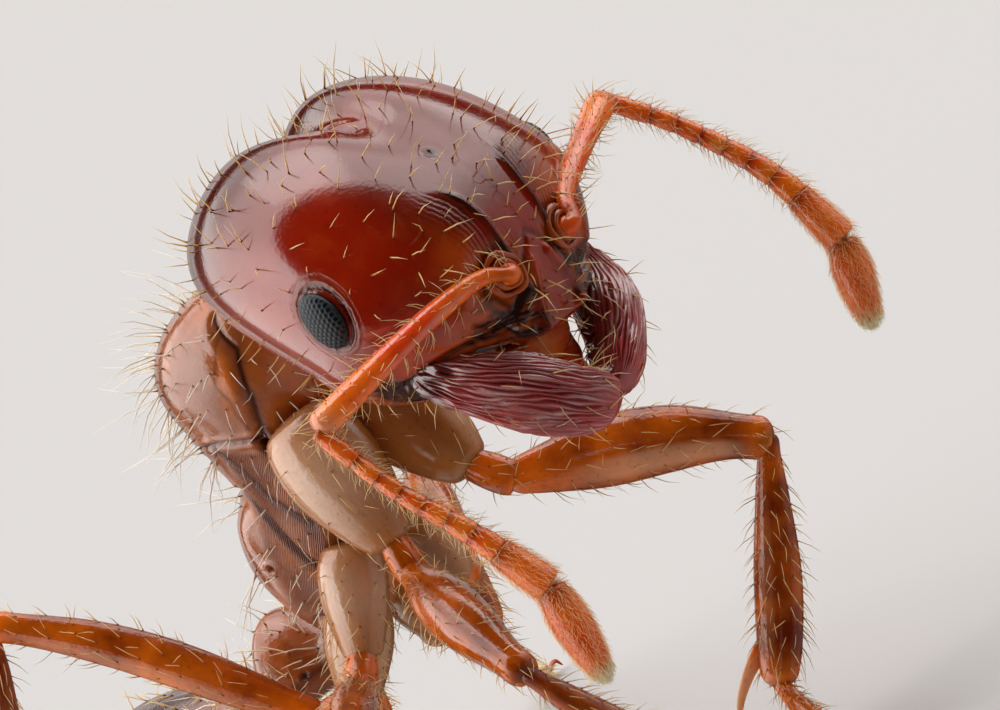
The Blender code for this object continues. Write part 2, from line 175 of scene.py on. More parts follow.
@dataclass(frozen=True)
class Axes:
    """Straight frame at a centre, turned nose down about the left-right axis."""

    centre: Point
    pitch: float

    def matrix(self) -> Array:
        """Columns are the frame's forward, left and back-ward (dorsal) directions."""
        a = math.radians(self.pitch)
        return np.array([[math.cos(a), 0, math.sin(a)], [0, 1, 0], [-math.sin(a), 0, math.cos(a)]])

    def local(self, points: Array) -> Array:
        """Points of the ant's frame, in this one."""
        return (points - np.array(self.centre)) @ self.matrix()

    def out(self, points: Array | Point) -> Array:
        """Points of this frame, in the ant's frame."""
        return np.asarray(points) @ self.matrix().T + np.array(self.centre)

    def turn(self, vectors: Array | Point) -> Array:
        """Directions of this frame, in the ant's frame."""
        return np.asarray(vectors) @ self.matrix().T


HEAD = Axes((0.0, 0.0, 3.45), 48.5)
TRUNK = Axes((-1.67, 0.0, 2.64), -75.0)
PETIOLE = Axes((-1.96, 0.0, 1.50), -14.0)
POSTPETIOLE = Axes((-2.79, 0.0, 1.29), -28.0)
GASTER = Axes((-3.17, 0.0, 1.06), -20.0)
SOCKET = (0.57, 0.27, 0.44)          # of a feeler: ahead, aside and above the head's centre


# ---- surfaces and meshes ----
GOLDEN_STRIDES = (0.7548776662, 0.5698402910)     # powers of one over the plastic number, 1.3247...
BARE = 1e-15                                      # density where next to no hair grows


@dataclass
class Roots:
    """Places on a surface where hairs grow."""

    points: Array
    normals: Array
    along: Array
    place: Array                     # unwrap place, zero to one

    def __len__(self) -> int:
        """Number of roots."""
        return len(self.points)


@dataclass
class Surface:
    """Closed body over a grid: rows run along it, columns wrap around it, and a fan closes each end.

    A tag paints the surface: it is one number, a number for each row, or a whole grid.
    """

    points: Array                    # rows, columns, 3
    tags: dict[str, Array | float] = field(default_factory=dict)

    def moved(self, axes: Axes) -> Surface:
        """The same surface with its points turned from a frame into the ant's own."""
        return Surface(axes.out(self.points), self.tags)

    def tangents(self) -> tuple[Array, Array]:
        """Directions along the rows' walk and around the columns.

        Returns:
            One vector along and one around, at each point.
        """
        wrapped = np.concatenate([self.points[:, -1:], self.points, self.points[:, :1]], axis=1)
        around = wrapped[:, 2:] - wrapped[:, :-2]
        return np.gradient(self.points, axis=0), around

    def normals(self) -> Array:
        """Outward unit normals at the grid's points.

        Returns:
            One vector at each point.
        """
        along, around = self.tangents()
        normal = unit(np.cross(along, around))
        outward = np.sum(normal * (self.points - self.points.mean(axis=1, keepdims=True)))
        return normal if outward > 0 else -normal

    def pushed(self, amount: Array) -> Surface:
        """The surface moved along its normals by an amount in millimetres."""
        return Surface(self.points + self.normals() * amount[..., None], self.tags)

    def faces(self) -> tuple[Array, Array]:
        """Quads of the grid and triangles of the two end fans.

        Returns:
            Vertex numbers of the quads, then of the triangles.
        """
        rows, columns = self.points.shape[:2]
        index = np.arange(rows * columns).reshape(rows, columns)
        right = np.roll(index, -1, axis=1)
        quads = np.stack([index[:-1], right[:-1], right[1:], index[1:]], axis=-1).reshape(-1, 4)
        first, last = rows * columns, rows * columns + 1
        near = np.stack([right[0], index[0], np.full(columns, first)], axis=-1)
        far = np.stack([index[-1], right[-1], np.full(columns, last)], axis=-1)
        return quads, np.concatenate([near, far])

    def vertices(self) -> Array:
        """Grid points followed by the middle of the first and the last ring."""
        ends = np.stack([self.points[0].mean(axis=0), self.points[-1].mean(axis=0)])
        return np.concatenate([self.points.reshape(-1, 3), ends])

    def values(self, tag: str) -> Array:
        """A tag's values at the vertices.

        Args:
            tag: its name.

        Returns:
            One number for each vertex.
        """
        value = np.asarray(self.tags.get(tag, 0.0), dtype=float)
        grid = np.broadcast_to(value[:, None] if value.ndim == 1 else value, self.points.shape[:2])
        return np.concatenate([grid.ravel(), [grid[0].mean(), grid[-1].mean()]])

    def scatter(self, count: int, seed: int, weight: Array | float = 1.0) -> Roots:
        """Evenly spread roots, denser where the weight is higher.

        A two-step golden sequence is mapped through the running sums of area times weight, first over
        the rows and then within each row.

        Args:
            count: number of roots.
            seed: shifts the sequence.
            weight: relative density over the grid.

        Returns:
            The roots, with unwrap places taken from the grid itself.
        """
        rows, columns = self.points.shape[:2]
        along, around = self.tangents()
        density = np.linalg.norm(np.cross(along, around), axis=-1) * weight + BARE
        density[[0, -1]] = BARE
        steps = np.arange(1, count + 1) + 0.37 * seed
        first, second = ((steps * stride) % 1.0 for stride in GOLDEN_STRIDES)
        by_row = np.cumsum(density.sum(axis=1))
        by_row /= by_row[-1]
        row = np.clip(np.searchsorted(by_row, first), 1, rows - 2)
        share = (first - by_row[row - 1]) / np.maximum(by_row[row] - by_row[row - 1], TINY)
        running = np.cumsum(density, axis=1)
        running /= running[:, -1:]
        column = np.minimum((running[row] < second[:, None]).sum(axis=1), columns - 1)
        before = np.where(column > 0, running[row, np.maximum(column - 1, 0)], 0.0)
        slide = (second - before) / np.maximum(running[row, column] - before, TINY)
        share, slide = held(share)[:, None], held(slide)[:, None]

        def blend(grid: Array) -> Array:
            """Values of a grid at the roots, between their four neighbours.

            Args:
                grid: one value or vector for each point.

            Returns:
                One value or vector for each root.
            """
            nxt, right = row + 1, (column + 1) % columns
            near = grid[row, column] * (1 - slide) + grid[row, right] * slide
            far = grid[nxt, column] * (1 - slide) + grid[nxt, right] * slide
            return near * (1 - share) + far * share

        place = np.stack([(row + share[:, 0]) / rows, (column + slide[:, 0]) / columns], axis=1)
        return Roots(blend(self.points), unit(blend(self.normals())), unit(blend(along)), place)


def signed_volume(points: Array, triangles: Array) -> float:
    """Volume inside closed triangles, positive when they face outward."""
    a, b, c = (points[triangles[:, k]] for k in range(3))
    return float(np.einsum("ij,ij->i", a, np.cross(b, c)).sum() / 6)


def joined(surfaces: Sequence[Surface], tags: Sequence[str]) -> tuple[Array, Array, Array, dict[str, Array]]:
    """Several closed surfaces as one set of vertices, quads, triangles and tag values.

    Args:
        surfaces: the bodies, each turned to face outwards.
        tags: names of the values wanted.

    Returns:
        Vertices, quads, triangles, and an array of values for each tag.
    """
    points, quads, triangles, start = [], [], [], 0
    for surface in surfaces:
        own_quads, own_triangles = surface.faces()
        vertices = surface.vertices()
        split = np.concatenate([own_triangles, own_quads[:, [0, 1, 2]], own_quads[:, [0, 2, 3]]])
        if signed_volume(vertices - vertices.mean(axis=0), split) < 0:
            own_quads, own_triangles = own_quads[:, ::-1], own_triangles[:, ::-1]
        points.append(vertices)
        quads.append(own_quads + start)
        triangles.append(own_triangles + start)
        start += len(vertices)
    values = {tag: np.concatenate([surface.values(tag) for surface in surfaces]) for tag in tags}
    return np.concatenate(points), np.concatenate(quads), np.concatenate(triangles), values


TAGS = ("glow", "shade", "ridge", "lane", "painted_sheen")       # what a cuticle's paint reads at each vertex; the last lays on painted sheen, a painted reflection


@dataclass
class Workshop:
    """Turns arrays into pieces that ride on the frame, in materials that are each made once."""

    shift: Array                     # from the drawing onto the frame, in millimetres
    rng: np.random.Generator
    triangles: int = 0
    made: dict[str, bpy.types.Material] = field(default_factory=dict)

    def material(self, finish: Finish) -> bpy.types.Material:
        """Material of a finish.

        Args:
            finish: one of the animal's finishes.

        Returns:
            The material, made at its first use.
        """
        if finish.name not in self.made:
            self.made[finish.name] = finish.value.material()
        return self.made[finish.name]

    def mesh(self, name: str, points: Array, face_sets: Sequence[Array]) -> bpy.types.Object:
        """Mesh object at the origin from points in millimetres and arrays of faces.

        Args:
            name: the piece's name.
            points: vertices in the drawing's millimetres.
            face_sets: arrays of vertex numbers, one for quads and one for triangles.

        Returns:
            The object, shaded smooth.
        """
        data = bpy.data.meshes.new(name)
        data.vertices.add(len(points))
        data.vertices.foreach_set("co", ((points + self.shift) * MM).astype(np.float32).ravel())
        sets = [faces for faces in face_sets if len(faces)]
        corners = np.concatenate([faces.ravel() for faces in sets]).astype(np.int32)
        sizes = np.concatenate([np.full(len(faces), faces.shape[1]) for faces in sets])
        starts = np.concatenate([[0], np.cumsum(sizes)[:-1]]).astype(np.int32)
        data.loops.add(len(corners))
        data.loops.foreach_set("vertex_index", corners)
        data.polygons.add(len(sizes))
        data.polygons.foreach_set("loop_start", starts)
        data.update(calc_edges=True)
        data.polygons.foreach_set("use_smooth", np.ones(len(sizes), dtype=bool))
        data.validate()
        body = bpy.data.objects.new(name, data)
        bpy.context.scene.collection.objects.link(body)
        self.triangles += int((sizes - 2).sum())
        return body

    def tag(self, body: bpy.types.Object, values: dict[str, Array]) -> None:
        """Store named values on a body's vertices.

        Args:
            body: the piece.
            values: an array for each name.
        """
        for name, numbers in values.items():
            layer = body.data.attributes.new(name, "FLOAT", "POINT")
            layer.data.foreach_set("value", numbers.astype(np.float32))

    def body(self, name: str, surfaces: Sequence[Surface], finish: Finish, slot: str,
             nodes: Sequence[str], tags: Sequence[str] = TAGS) -> None:
        """Make a piece from closed surfaces.

        Args:
            name: the piece's name.
            surfaces: its bodies, which become one mesh.
            finish: what it is dressed in.
            slot: the record's material slot, not used.
            nodes: the frame's nodes that it stands for.
            tags: values stored on its vertices.
        """
        points, quads, triangles, values = joined(surfaces, tags)
        piece = self.mesh(name, points, [quads, triangles])
        self.tag(piece, values)
        self.finish(piece, finish, slot, nodes)

    def finish(self, piece: bpy.types.Object, finish: Finish, slot: str, nodes: Sequence[str]) -> None:
        """Dress a piece and put it on the frame, in place of the named nodes.

        Args:
            piece: a mesh object at the origin.
            finish: what it is dressed in.
            slot: the record's material slot, not used.
            nodes: the frame's nodes that it stands for.
        """
        piece.data.materials.append(self.material(finish))
        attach(piece, "root")
        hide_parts(*nodes)
        LOG.info("%s: %d faces", piece.name, len(piece.data.polygons))


# ---- shader maths ----
@dataclass(frozen=True)
class Sig:
    """Shader value as an expression: arithmetic on it adds Math nodes to its board."""

    board: Board
    socket: object

    def __add__(self, other: Sig | float) -> Sig:
        """Sum."""
        return self.board.math("ADD", self, other)

    def __radd__(self, other: float) -> Sig:
        """Sum with a number first."""
        return self.board.math("ADD", other, self)

    def __sub__(self, other: Sig | float) -> Sig:
        """Difference."""
        return self.board.math("SUBTRACT", self, other)

    def __rsub__(self, other: float) -> Sig:
        """Difference from a number."""
        return self.board.math("SUBTRACT", other, self)

    def __mul__(self, other: Sig | float) -> Sig:
        """Product."""
        return self.board.math("MULTIPLY", self, other)

    def __rmul__(self, other: float) -> Sig:
        """Product with a number first."""
        return self.board.math("MULTIPLY", other, self)

    def sine(self) -> Sig:
        """Sine of the value."""
        return self.board.math("SINE", self, 0.0)

    def held(self) -> Sig:
        """Value held between zero and one."""
        return self.board.node("ShaderNodeClamp", {}, {"Value": self})

    def rise(self, low: float, high: float) -> Sig:
        """Smooth step from zero at low to one at high."""
        return self.board.node("ShaderNodeMapRange", {"interpolation_type": "SMOOTHSTEP"},
                               {"Value": self, "From Min": low, "From Max": high})


@dataclass
class Board:
    """Node tree that is written through Sig expressions and one node-adding method."""

    tree: bpy.types.NodeTree

    def node(self, kind: str, settings: dict[str, object], inputs: dict[object, object],
             output: object = 0) -> Sig:
        """Add a node.

        Args:
            kind: node type.
            settings: properties of the node, set before its sockets.
            inputs: numbers, colours or other values by socket name or index.
            output: name or index of the socket to read.

        Returns:
            The chosen output.
        """
        made = self.tree.nodes.new(kind)
        for key, value in settings.items():
            setattr(made, key, value)
        for key, value in inputs.items():
            self.feed(made.inputs[key], value)
        return Sig(self, made.outputs[output])

    def feed(self, socket: bpy.types.NodeSocket, value: object) -> None:
        """Link a value to a socket, or set the socket to a number or colour.

        Args:
            socket: an input of a node.
            value: an expression, a number or a colour.
        """
        if isinstance(value, Sig):
            self.tree.links.new(value.socket, socket)
        else:
            socket.default_value = value

    def math(self, operation: str, first: Sig | float, second: Sig | float) -> Sig:
        """Math node on two values."""
        return self.node("ShaderNodeMath", {"operation": operation}, {0: first, 1: second})

    def tag(self, name: str) -> Sig:
        """Value stored on a piece's vertices."""
        return self.node("ShaderNodeAttribute", {"attribute_name": name}, {}, "Fac")

    def place(self) -> Sig:
        """Object coordinates."""
        return self.node("ShaderNodeTexCoord", {}, {}, "Object")

    def noise(self, at: Sig, per_mm: float, detail: float = 3.0) -> Sig:
        """Cloudy value around one half, with features of one over per_mm millimetres."""
        return self.node("ShaderNodeTexNoise", {},
                         {"Vector": at, "Scale": per_mm / MM, "Detail": detail}, 0)

    def cells(self, at: Sig, per_mm: float) -> Sig:
        """Distance from the middle of the nearest of many small cells."""
        return self.node("ShaderNodeTexVoronoi", {}, {"Vector": at, "Scale": per_mm / MM}, 0)

    def blend(self, first: Sig | Colour, second: Sig | Colour, share: Sig) -> Sig:
        """Colour between two colours.

        Args:
            first: colour where the share is zero.
            second: colour where it is one.
            share: value between zero and one.

        Returns:
            The mixed colour.
        """
        inputs = {6: first if isinstance(first, Sig) else (*first, 1.0),
                  7: second if isinstance(second, Sig) else (*second, 1.0), 0: share}
        return self.node("ShaderNodeMix", {"data_type": "RGBA"}, inputs, 2)

    def bump(self, height: Sig) -> Sig:
        """Normal bent by a height in millimetres."""
        return self.node("ShaderNodeBump", {}, {"Height": height, "Distance": MM, "Strength": 1.0}, "Normal")

    def dress(self, shader: bpy.types.Node, values: dict[str, object]) -> None:
        """Link or set several sockets of a shader by name."""
        for name, value in values.items():
            self.feed(shader.inputs[name], value)


def principled(name: str) -> tuple[bpy.types.Material, Board, bpy.types.Node]:
    """New material with its board and its shader node.

    Args:
        name: the material's name.

    Returns:
        The material, its board and its Principled BSDF.
    """
    material = bpy.data.materials.new(name)
    material.use_nodes = True
    return material, Board(material.node_tree), material.node_tree.nodes["Principled BSDF"]


@dataclass(frozen=True)
class Shell:
    """Glossy, slightly clear chitin: deep colour, amber where it is thin, dark in its seams and under painted
    shade, pale under painted sheen, which is a painted reflection.
    """

    name: str
    deep: Colour
    clear: Colour
    # dark colour of the seams, also laid on as painted shade
    seam: Colour
    # colour of the painted sheen: a painted reflection
    painted_sheen: Colour = (0.50, 0.36, 0.30)
    roughness: float = 0.27
    ior: float = 1.95
    coat: float = 0.5
    lanes: float = 45.0              # fine ridges per millimetre
    ridge_depth: float = 0.006       # millimetres
    grain_depth: float = 0.0012
    mottle: float = 0.5              # how far the colour drifts
    furrow_shading: float = 0.42           # painted shade: how dark the furrows between fine ridges are painted
    glow_depth: float = 0.12         # how far light wanders inside, millimetres
    glow_weight: float = 0.2

    def material(self) -> bpy.types.Material:
        """Colour from the tags glow and shade, painted sheen from its own tag, fine ridges along the tag lane
        where ridge allows, with painted shade in their furrows.

        Returns:
            The material.
        """
        material, board, shader = principled(self.name)
        at = board.place()
        clouds, motes = board.noise(at, 4.0), board.noise(at, 30.0, 4.0)
        glow, shade, ridge = board.tag("glow"), board.tag("shade"), board.tag("ridge")
        warmth = (glow + self.mottle * (clouds - 0.5)).held()
        # painted reflection: the sheen colour is laid over the tint
        tint = board.blend(board.blend(self.deep, self.clear, warmth), self.painted_sheen, board.tag("painted_sheen"))
        waves = (board.tag("lane") * (2 * math.pi * self.lanes) + 5.0 * motes + 11.0 * clouds).sine()
        crest = waves * 0.5 + 0.5
        # painted shade in the furrows between fine ridges, with the shade tag and random dark specks
        seam = (shade + ridge * (1 - crest) * self.furrow_shading + 0.25 * motes.rise(0.58, 0.75)).held()
        height = ridge * crest * self.ridge_depth + (board.cells(at, 42.0) + motes) * self.grain_depth
        board.dress(shader, {
            "Base Color": board.blend(tint, self.seam, seam),
            "Roughness": (self.roughness + 0.16 * (clouds - 0.5) + 0.10 * ridge).held(),
            "Coat Weight": ((1 - ridge) * (1 - shade) * self.coat).held(),
            "Normal": board.bump(height), "IOR": self.ior, "Coat Roughness": 0.10, "Coat IOR": 1.6,
            "Subsurface Weight": self.glow_weight, "Subsurface Radius": (1.0, 0.35, 0.12),
            "Subsurface Scale": self.glow_depth * MM})
        return material


@dataclass(frozen=True)
class HairFinish:
    """Golden hair: dark at its socket, paler towards its tip, faintly streaked."""

    name: str
    root: Colour
    middle: Colour
    tip: Colour
    roughness: float = 0.38

    def material(self) -> bpy.types.Material:
        """Colour along the tag tip.

        Returns:
            The material.
        """
        material, board, shader = principled(self.name)
        along = board.tag("tip")
        streaks = board.noise(board.place(), 60.0, 2.0)
        body = board.blend(self.middle, self.tip, (along + 0.4 * streaks - 0.2).held())
        board.dress(shader, {
            "Base Color": board.blend(self.root, body, along.rise(0.0, 0.12)),
            "Roughness": self.roughness + 0.1 * streaks, "IOR": 1.55, "Subsurface Weight": 0.25,
            "Subsurface Radius": (1.0, 0.8, 0.5), "Subsurface Scale": 0.02 * MM})
        return material


@dataclass(frozen=True)
class LensFinish:
    """Eye: dark facets in a slate-blue net."""

    name: str = "facets"
    lens: Colour = (0.004, 0.007, 0.010)
    net: Colour = (0.026, 0.036, 0.046)

    def material(self) -> bpy.types.Material:
        """Colour from the tag net, which is one between the facets.

        Returns:
            The material.
        """
        material, board, shader = principled(self.name)
        speckle = board.noise(board.place(), 50.0)
        share = (board.tag("net") + 0.3 * (speckle - 0.5)).held()
        board.dress(shader, {"Base Color": board.blend(self.lens, self.net, share),
                             "Roughness": 0.24 + 0.3 * share, "IOR": 1.38})
        return material


@dataclass(frozen=True)
class StudioFinish:
    """Plain pale matt floor."""

    colour: Colour = (0.50, 0.503, 0.506)

    def material(self) -> bpy.types.Material:
        """Nearly even colour with the faintest mottling.

        Returns:
            The material.
        """
        material, board, shader = principled("studio_floor")
        clouds = board.noise(board.place(), 0.05)
        lighter = tuple(min(1.0, c * 1.03) for c in self.colour)
        board.dress(shader, {"Base Color": board.blend(self.colour, lighter, clouds), "Roughness": 0.9,
                             "Specular IOR Level": 0.1})
        return material


class Finish(Enum):
    """The animal's finishes."""

    # a shell's fourth colour, where it is given, is that of its painted sheen, a painted reflection
    HEAD = Shell("head_cuticle", (0.290, 0.0105, 0.0002), (0.66, 0.110, 0.005), (0.030, 0.0030, 0.0010),
                 lanes=34.0, ridge_depth=0.0020, roughness=0.135, ior=1.65, grain_depth=0.0004, furrow_shading=0.35,
                 mottle=0.8)
    TRUNK = Shell("trunk_cuticle", (0.320, 0.0920, 0.0300), (0.68, 0.170, 0.014), (0.060, 0.0100, 0.0030),
                  lanes=100.0, ridge_depth=0.0028, roughness=0.16, ior=1.55, furrow_shading=0.80, mottle=2.1)
    JAW = Shell("jaw_cuticle", (0.300, 0.0290, 0.0350), (0.60, 0.045, 0.040), (0.004, 0.0012, 0.0016),
                (0.50, 0.36, 0.35), lanes=26.0, ridge_depth=0.003, roughness=0.11, grain_depth=0.0005,
                mottle=1.2)
    COXA = Shell("coxa_cuticle", (0.430, 0.145, 0.026), (0.56, 0.230, 0.055), (0.030, 0.0070, 0.0025),
                 (0.62, 0.41, 0.27), roughness=0.17, ior=1.6, glow_weight=0.3, mottle=1.3)
    LIMB = Shell("limb_cuticle", (0.200, 0.0200, 0.0010), (0.86, 0.185, 0.005), (0.020, 0.0028, 0.0008),
                 (0.92, 0.56, 0.32), glow_weight=0.3, ior=1.5, coat=0.3, roughness=0.13, mottle=1.8)
    FEELER = Shell("feeler_cuticle", (0.80, 0.0680, 0.0068), (1.0, 0.235, 0.010), (0.130, 0.0080, 0.0015),
                   glow_weight=0.3, coat=0.4, ior=1.55, roughness=0.16, mottle=2.2, grain_depth=0.0018)
    GASTER = Shell("gaster_cuticle", (0.042, 0.0070, 0.0025), (0.30, 0.070, 0.012), (0.006, 0.0020, 0.0015),
                   roughness=0.24, ior=1.7, mottle=0.9)
    SOFT = Shell("soft_membrane", (0.30, 0.13, 0.05), (0.60, 0.36, 0.16), (0.10, 0.035, 0.012),
                 roughness=0.4, coat=0.1, glow_weight=0.4)
    GOLD = HairFinish("golden_hair", (0.10, 0.02, 0.006), (0.66, 0.33, 0.07), (0.90, 0.68, 0.34))
    PALE = HairFinish("pale_hair", (0.16, 0.06, 0.03), (0.72, 0.56, 0.38), (0.94, 0.88, 0.76))
    FUZZ = HairFinish("club_fuzz", (0.60, 0.05, 0.004), (0.99, 0.27, 0.025), (1.0, 0.78, 0.34))
    STRAW = HairFinish("straw_hair", (0.90, 0.48, 0.08), (1.0, 0.80, 0.36), (1.0, 0.95, 0.70))
    EYE = LensFinish()


# ---- hairs ----
@dataclass(frozen=True)
class Bristle:
    """Cut of one kind of hair, in millimetres and degrees."""

    short: float
    long: float
    thick: float = 0.0055
    lean: float = 30.0
    stray: float = 12.0
    curl: float = 0.25


TUFT = 0.003                                      # width of a hair's patch on the unwrap
SHARES = np.array([-0.05, 0.05, 0.52, 1.0])       # where a hair's rings stand, the first in the skin
GIRTHS = np.array([1.9, 1.0, 0.72, 0.10])         # how thick it is there
SIDES = 3
CLEARANCE = 0.004                                 # hairs bend to stay this far above the floor


@dataclass
class Coat:
    """Solid hairs: three-sided tapered spikes, bent towards where they lean."""

    rng: np.random.Generator
    tiles: int = 1
    points: list[Array] = field(default_factory=list)
    tips: list[Array] = field(default_factory=list)
    places: list[Array] = field(default_factory=list)

    def grow(self, roots: Roots, kind: Bristle, heading: Array | None = None, tile: int = 0) -> None:
        """Add one hair at each root.

        Each hair's middle line leaves the skin at its lean from the normal and bends on by its curl
        with the square of the way; rings of three points around it shrink towards the tip.

        Args:
            roots: places on the skin.
            kind: length, thickness and lean.
            heading: direction it leans to, or None for the skin's own direction.
            tile: which strip of the unwrap the skin has.
        """
        n = len(roots)
        if n == 0:
            return
        way = roots.along if heading is None else np.broadcast_to(heading, (n, 3))
        way = unit(way - roots.normals * np.sum(way * roots.normals, axis=1, keepdims=True))
        across = np.cross(roots.normals, way)
        swing = np.radians(self.rng.normal(0.0, 3.0 * kind.stray, n))[:, None]
        way = way * np.cos(swing) + across * np.sin(swing)
        lean = np.radians(kind.lean + self.rng.normal(0.0, kind.stray, n))[:, None]
        length = self.rng.uniform(kind.short, kind.long, n)[:, None]
        start = roots.normals * np.cos(lean) + way * np.sin(lean)
        share = SHARES[None, :, None]
        line = (roots.points[:, None] + (start * length)[:, None] * share
                + ((way * np.cos(lean) - roots.normals * np.sin(lean)) * length * kind.curl)[:, None]
                * share ** 2)
        ahead = unit(np.gradient(line, axis=1))
        side = unit(np.cross(ahead, roots.normals[:, None] + 0.01))
        top = np.cross(ahead, side)
        girth = kind.thick * self.rng.uniform(0.8, 1.2, (n, 1)) * GIRTHS[None, :]
        turn = angles(SIDES)
        rings = (line[:, :, None] + side[:, :, None] * (np.cos(turn)[:, None] * girth[:, :, None, None])
                 + top[:, :, None] * (np.sin(turn)[:, None] * girth[:, :, None, None]))
        rings[..., 2] = np.maximum(rings[..., 2], CLEARANCE)
        self.points.append(rings.reshape(-1, 3))
        self.tips.append(np.broadcast_to(held(SHARES)[None, :, None], rings.shape[:3]).ravel())
        spot = np.stack([roots.place[:, 0], (roots.place[:, 1] + tile) / self.tiles], axis=1)
        patch = np.stack(np.broadcast_arrays(
            (turn / (2 * np.pi) - 0.5)[None, None, :], (SHARES - 0.5)[None, :, None]), axis=-1) * TUFT
        spots = np.clip(spot[:, None, None] * (1 - TUFT) + TUFT / 2, TUFT / 2, 1 - TUFT / 2) + patch
        self.places.append(spots.reshape(-1, 2))

    def faces(self, count: int) -> tuple[Array, Array]:
        """Quads of the walls and triangles closing both ends, for a number of hairs.

        Args:
            count: how many hairs.

        Returns:
            Vertex numbers of the quads, then of the triangles.
        """
        rings = len(SHARES)
        grid = np.arange(rings * SIDES).reshape(rings, SIDES)
        right = np.roll(grid, -1, axis=1)
        quads = np.stack([grid[:-1], right[:-1], right[1:], grid[1:]], axis=-1).reshape(-1, 4)
        ends = np.stack([grid[0][::-1], grid[-1]])
        offset = (np.arange(count) * rings * SIDES)[:, None, None]
        return (quads[None] + offset).reshape(-1, 4), (ends[None] + offset).reshape(-1, 3)

    def build(self, shop: Workshop, name: str, finish: Finish, slot: str, nodes: Sequence[str]) -> None:
        """Make the hairs one piece, with the tag tip and the unwrap map.

        Args:
            shop: where pieces are made.
            name: the piece's name.
            finish: the colour of the hair.
            slot: the record's material slot, not used.
            nodes: the frame's nodes that it stands for.
        """
        points = np.concatenate(self.points)
        count = len(points) // (len(SHARES) * SIDES)
        quads, ends = self.faces(count)
        piece = shop.mesh(name, points, [quads, ends])
        shop.tag(piece, {"tip": np.concatenate(self.tips)})
        spots = np.concatenate(self.places).astype(np.float32)
        order = np.concatenate([quads.ravel(), ends.ravel()])
        layer = piece.data.uv_layers.new(name="OFBake")
        layer.data.foreach_set("uv", spots[order].ravel())
        shop.finish(piece, finish, slot, nodes)


# ---- bodies along a path ----
def eased(count: int) -> Array:
    """Shares from zero to one, closer together at both ends."""
    return 0.5 - 0.5 * np.cos(np.pi * np.arange(count) / (count - 1))


def caps(share: Array, first: float, last: float) -> Array:
    """Rounding that closes a body over its first and last stretch, as quarter circles.

    Args:
        share: places along the body, zero to one.
        first: length of the rounding at its beginning, as a share.
        last: length of the rounding at its end.

    Returns:
        Factor for the body's thickness.
    """
    near = held(share / first) if first > 0 else np.ones_like(share)
    far = held((1 - share) / last) if last > 0 else np.ones_like(share)
    return np.sqrt(np.maximum(1 - (1 - near) ** 2, 0.0004)) * np.sqrt(np.maximum(1 - (1 - far) ** 2, 0.0004))


def walked_to(path: Array, shares: Array) -> Array:
    """Points of a path at shares of the way along it."""
    at = np.linspace(0, 1, len(path))
    return np.stack([np.interp(shares, at, path[:, k]) for k in range(3)], axis=1)


def sweep(path: Array, wide: Array, deep: Array, up: Array | Point, columns: int) -> Surface:
    """Oval section carried along a path.

    Args:
        path: its middle line.
        wide: half thickness across, at each point of the path.
        deep: half thickness along the up direction.
        up: a direction that is nowhere in line with the path.
        columns: points round the section.

    Returns:
        Rows of ovals, square to the path.
    """
    ahead = unit(np.gradient(path, axis=0))
    across = unit(np.cross(np.broadcast_to(up, ahead.shape), ahead))
    top = np.cross(ahead, across)
    turn = angles(columns)
    points = (path[:, None] + across[:, None] * (np.cos(turn)[:, None] * wide[:, None, None])
              + top[:, None] * (np.sin(turn)[:, None] * deep[:, None, None]))
    return Surface(points)


def ball(centre: Array, radius: float, axis: Array, columns: int, stretch: float) -> Surface:
    """Ball, or an egg stretched along its axis.

    Args:
        centre: its middle.
        radius: its radius across the axis.
        axis: unit vector through its poles.
        columns: points round the axis.
        stretch: length along the axis over that across it.

    Returns:
        A closed surface.
    """
    share = eased(13)
    path = centre + np.outer((2 * share - 1) * radius * stretch, axis)
    girth = radius * np.sqrt(np.maximum(1 - (2 * share - 1) ** 2, 0.0004))
    return sweep(path, girth, girth, (0.31, 0.22, 0.92), columns)


def hoop(centre: Array, normal: Array, radius: float, thick: float, columns: int, wobble: float) -> Surface:
    """Closed ring, uneven by the wobble: rows walk round the hoop and columns round its thickness.

    Args:
        centre: its middle.
        normal: unit vector square to its plane.
        radius: radius of its middle line.
        thick: half its thickness.
        columns: points round the hoop.
        wobble: unevenness, as a share.

    Returns:
        A surface whose two end rings meet.
    """
    first = unit(np.cross(normal, np.array([0.3, 0.9, 0.2])))
    second = np.cross(normal, first)
    turn = 2 * np.pi * np.arange(columns + 1) / columns
    spoke = first * np.cos(turn)[:, None] + second * np.sin(turn)[:, None]
    around = angles(12)
    reach = radius * (1 + wobble * (np.sin(2 * turn) + 0.5 * np.sin(5 * turn + 1)))[:, None]
    full = thick * (1 + 4 * wobble * np.sin(3 * turn + 2))[:, None]
    return Surface(centre + spoke[:, None] * (reach + full * np.cos(around))[..., None]
                   + normal * (full * np.sin(around))[..., None])


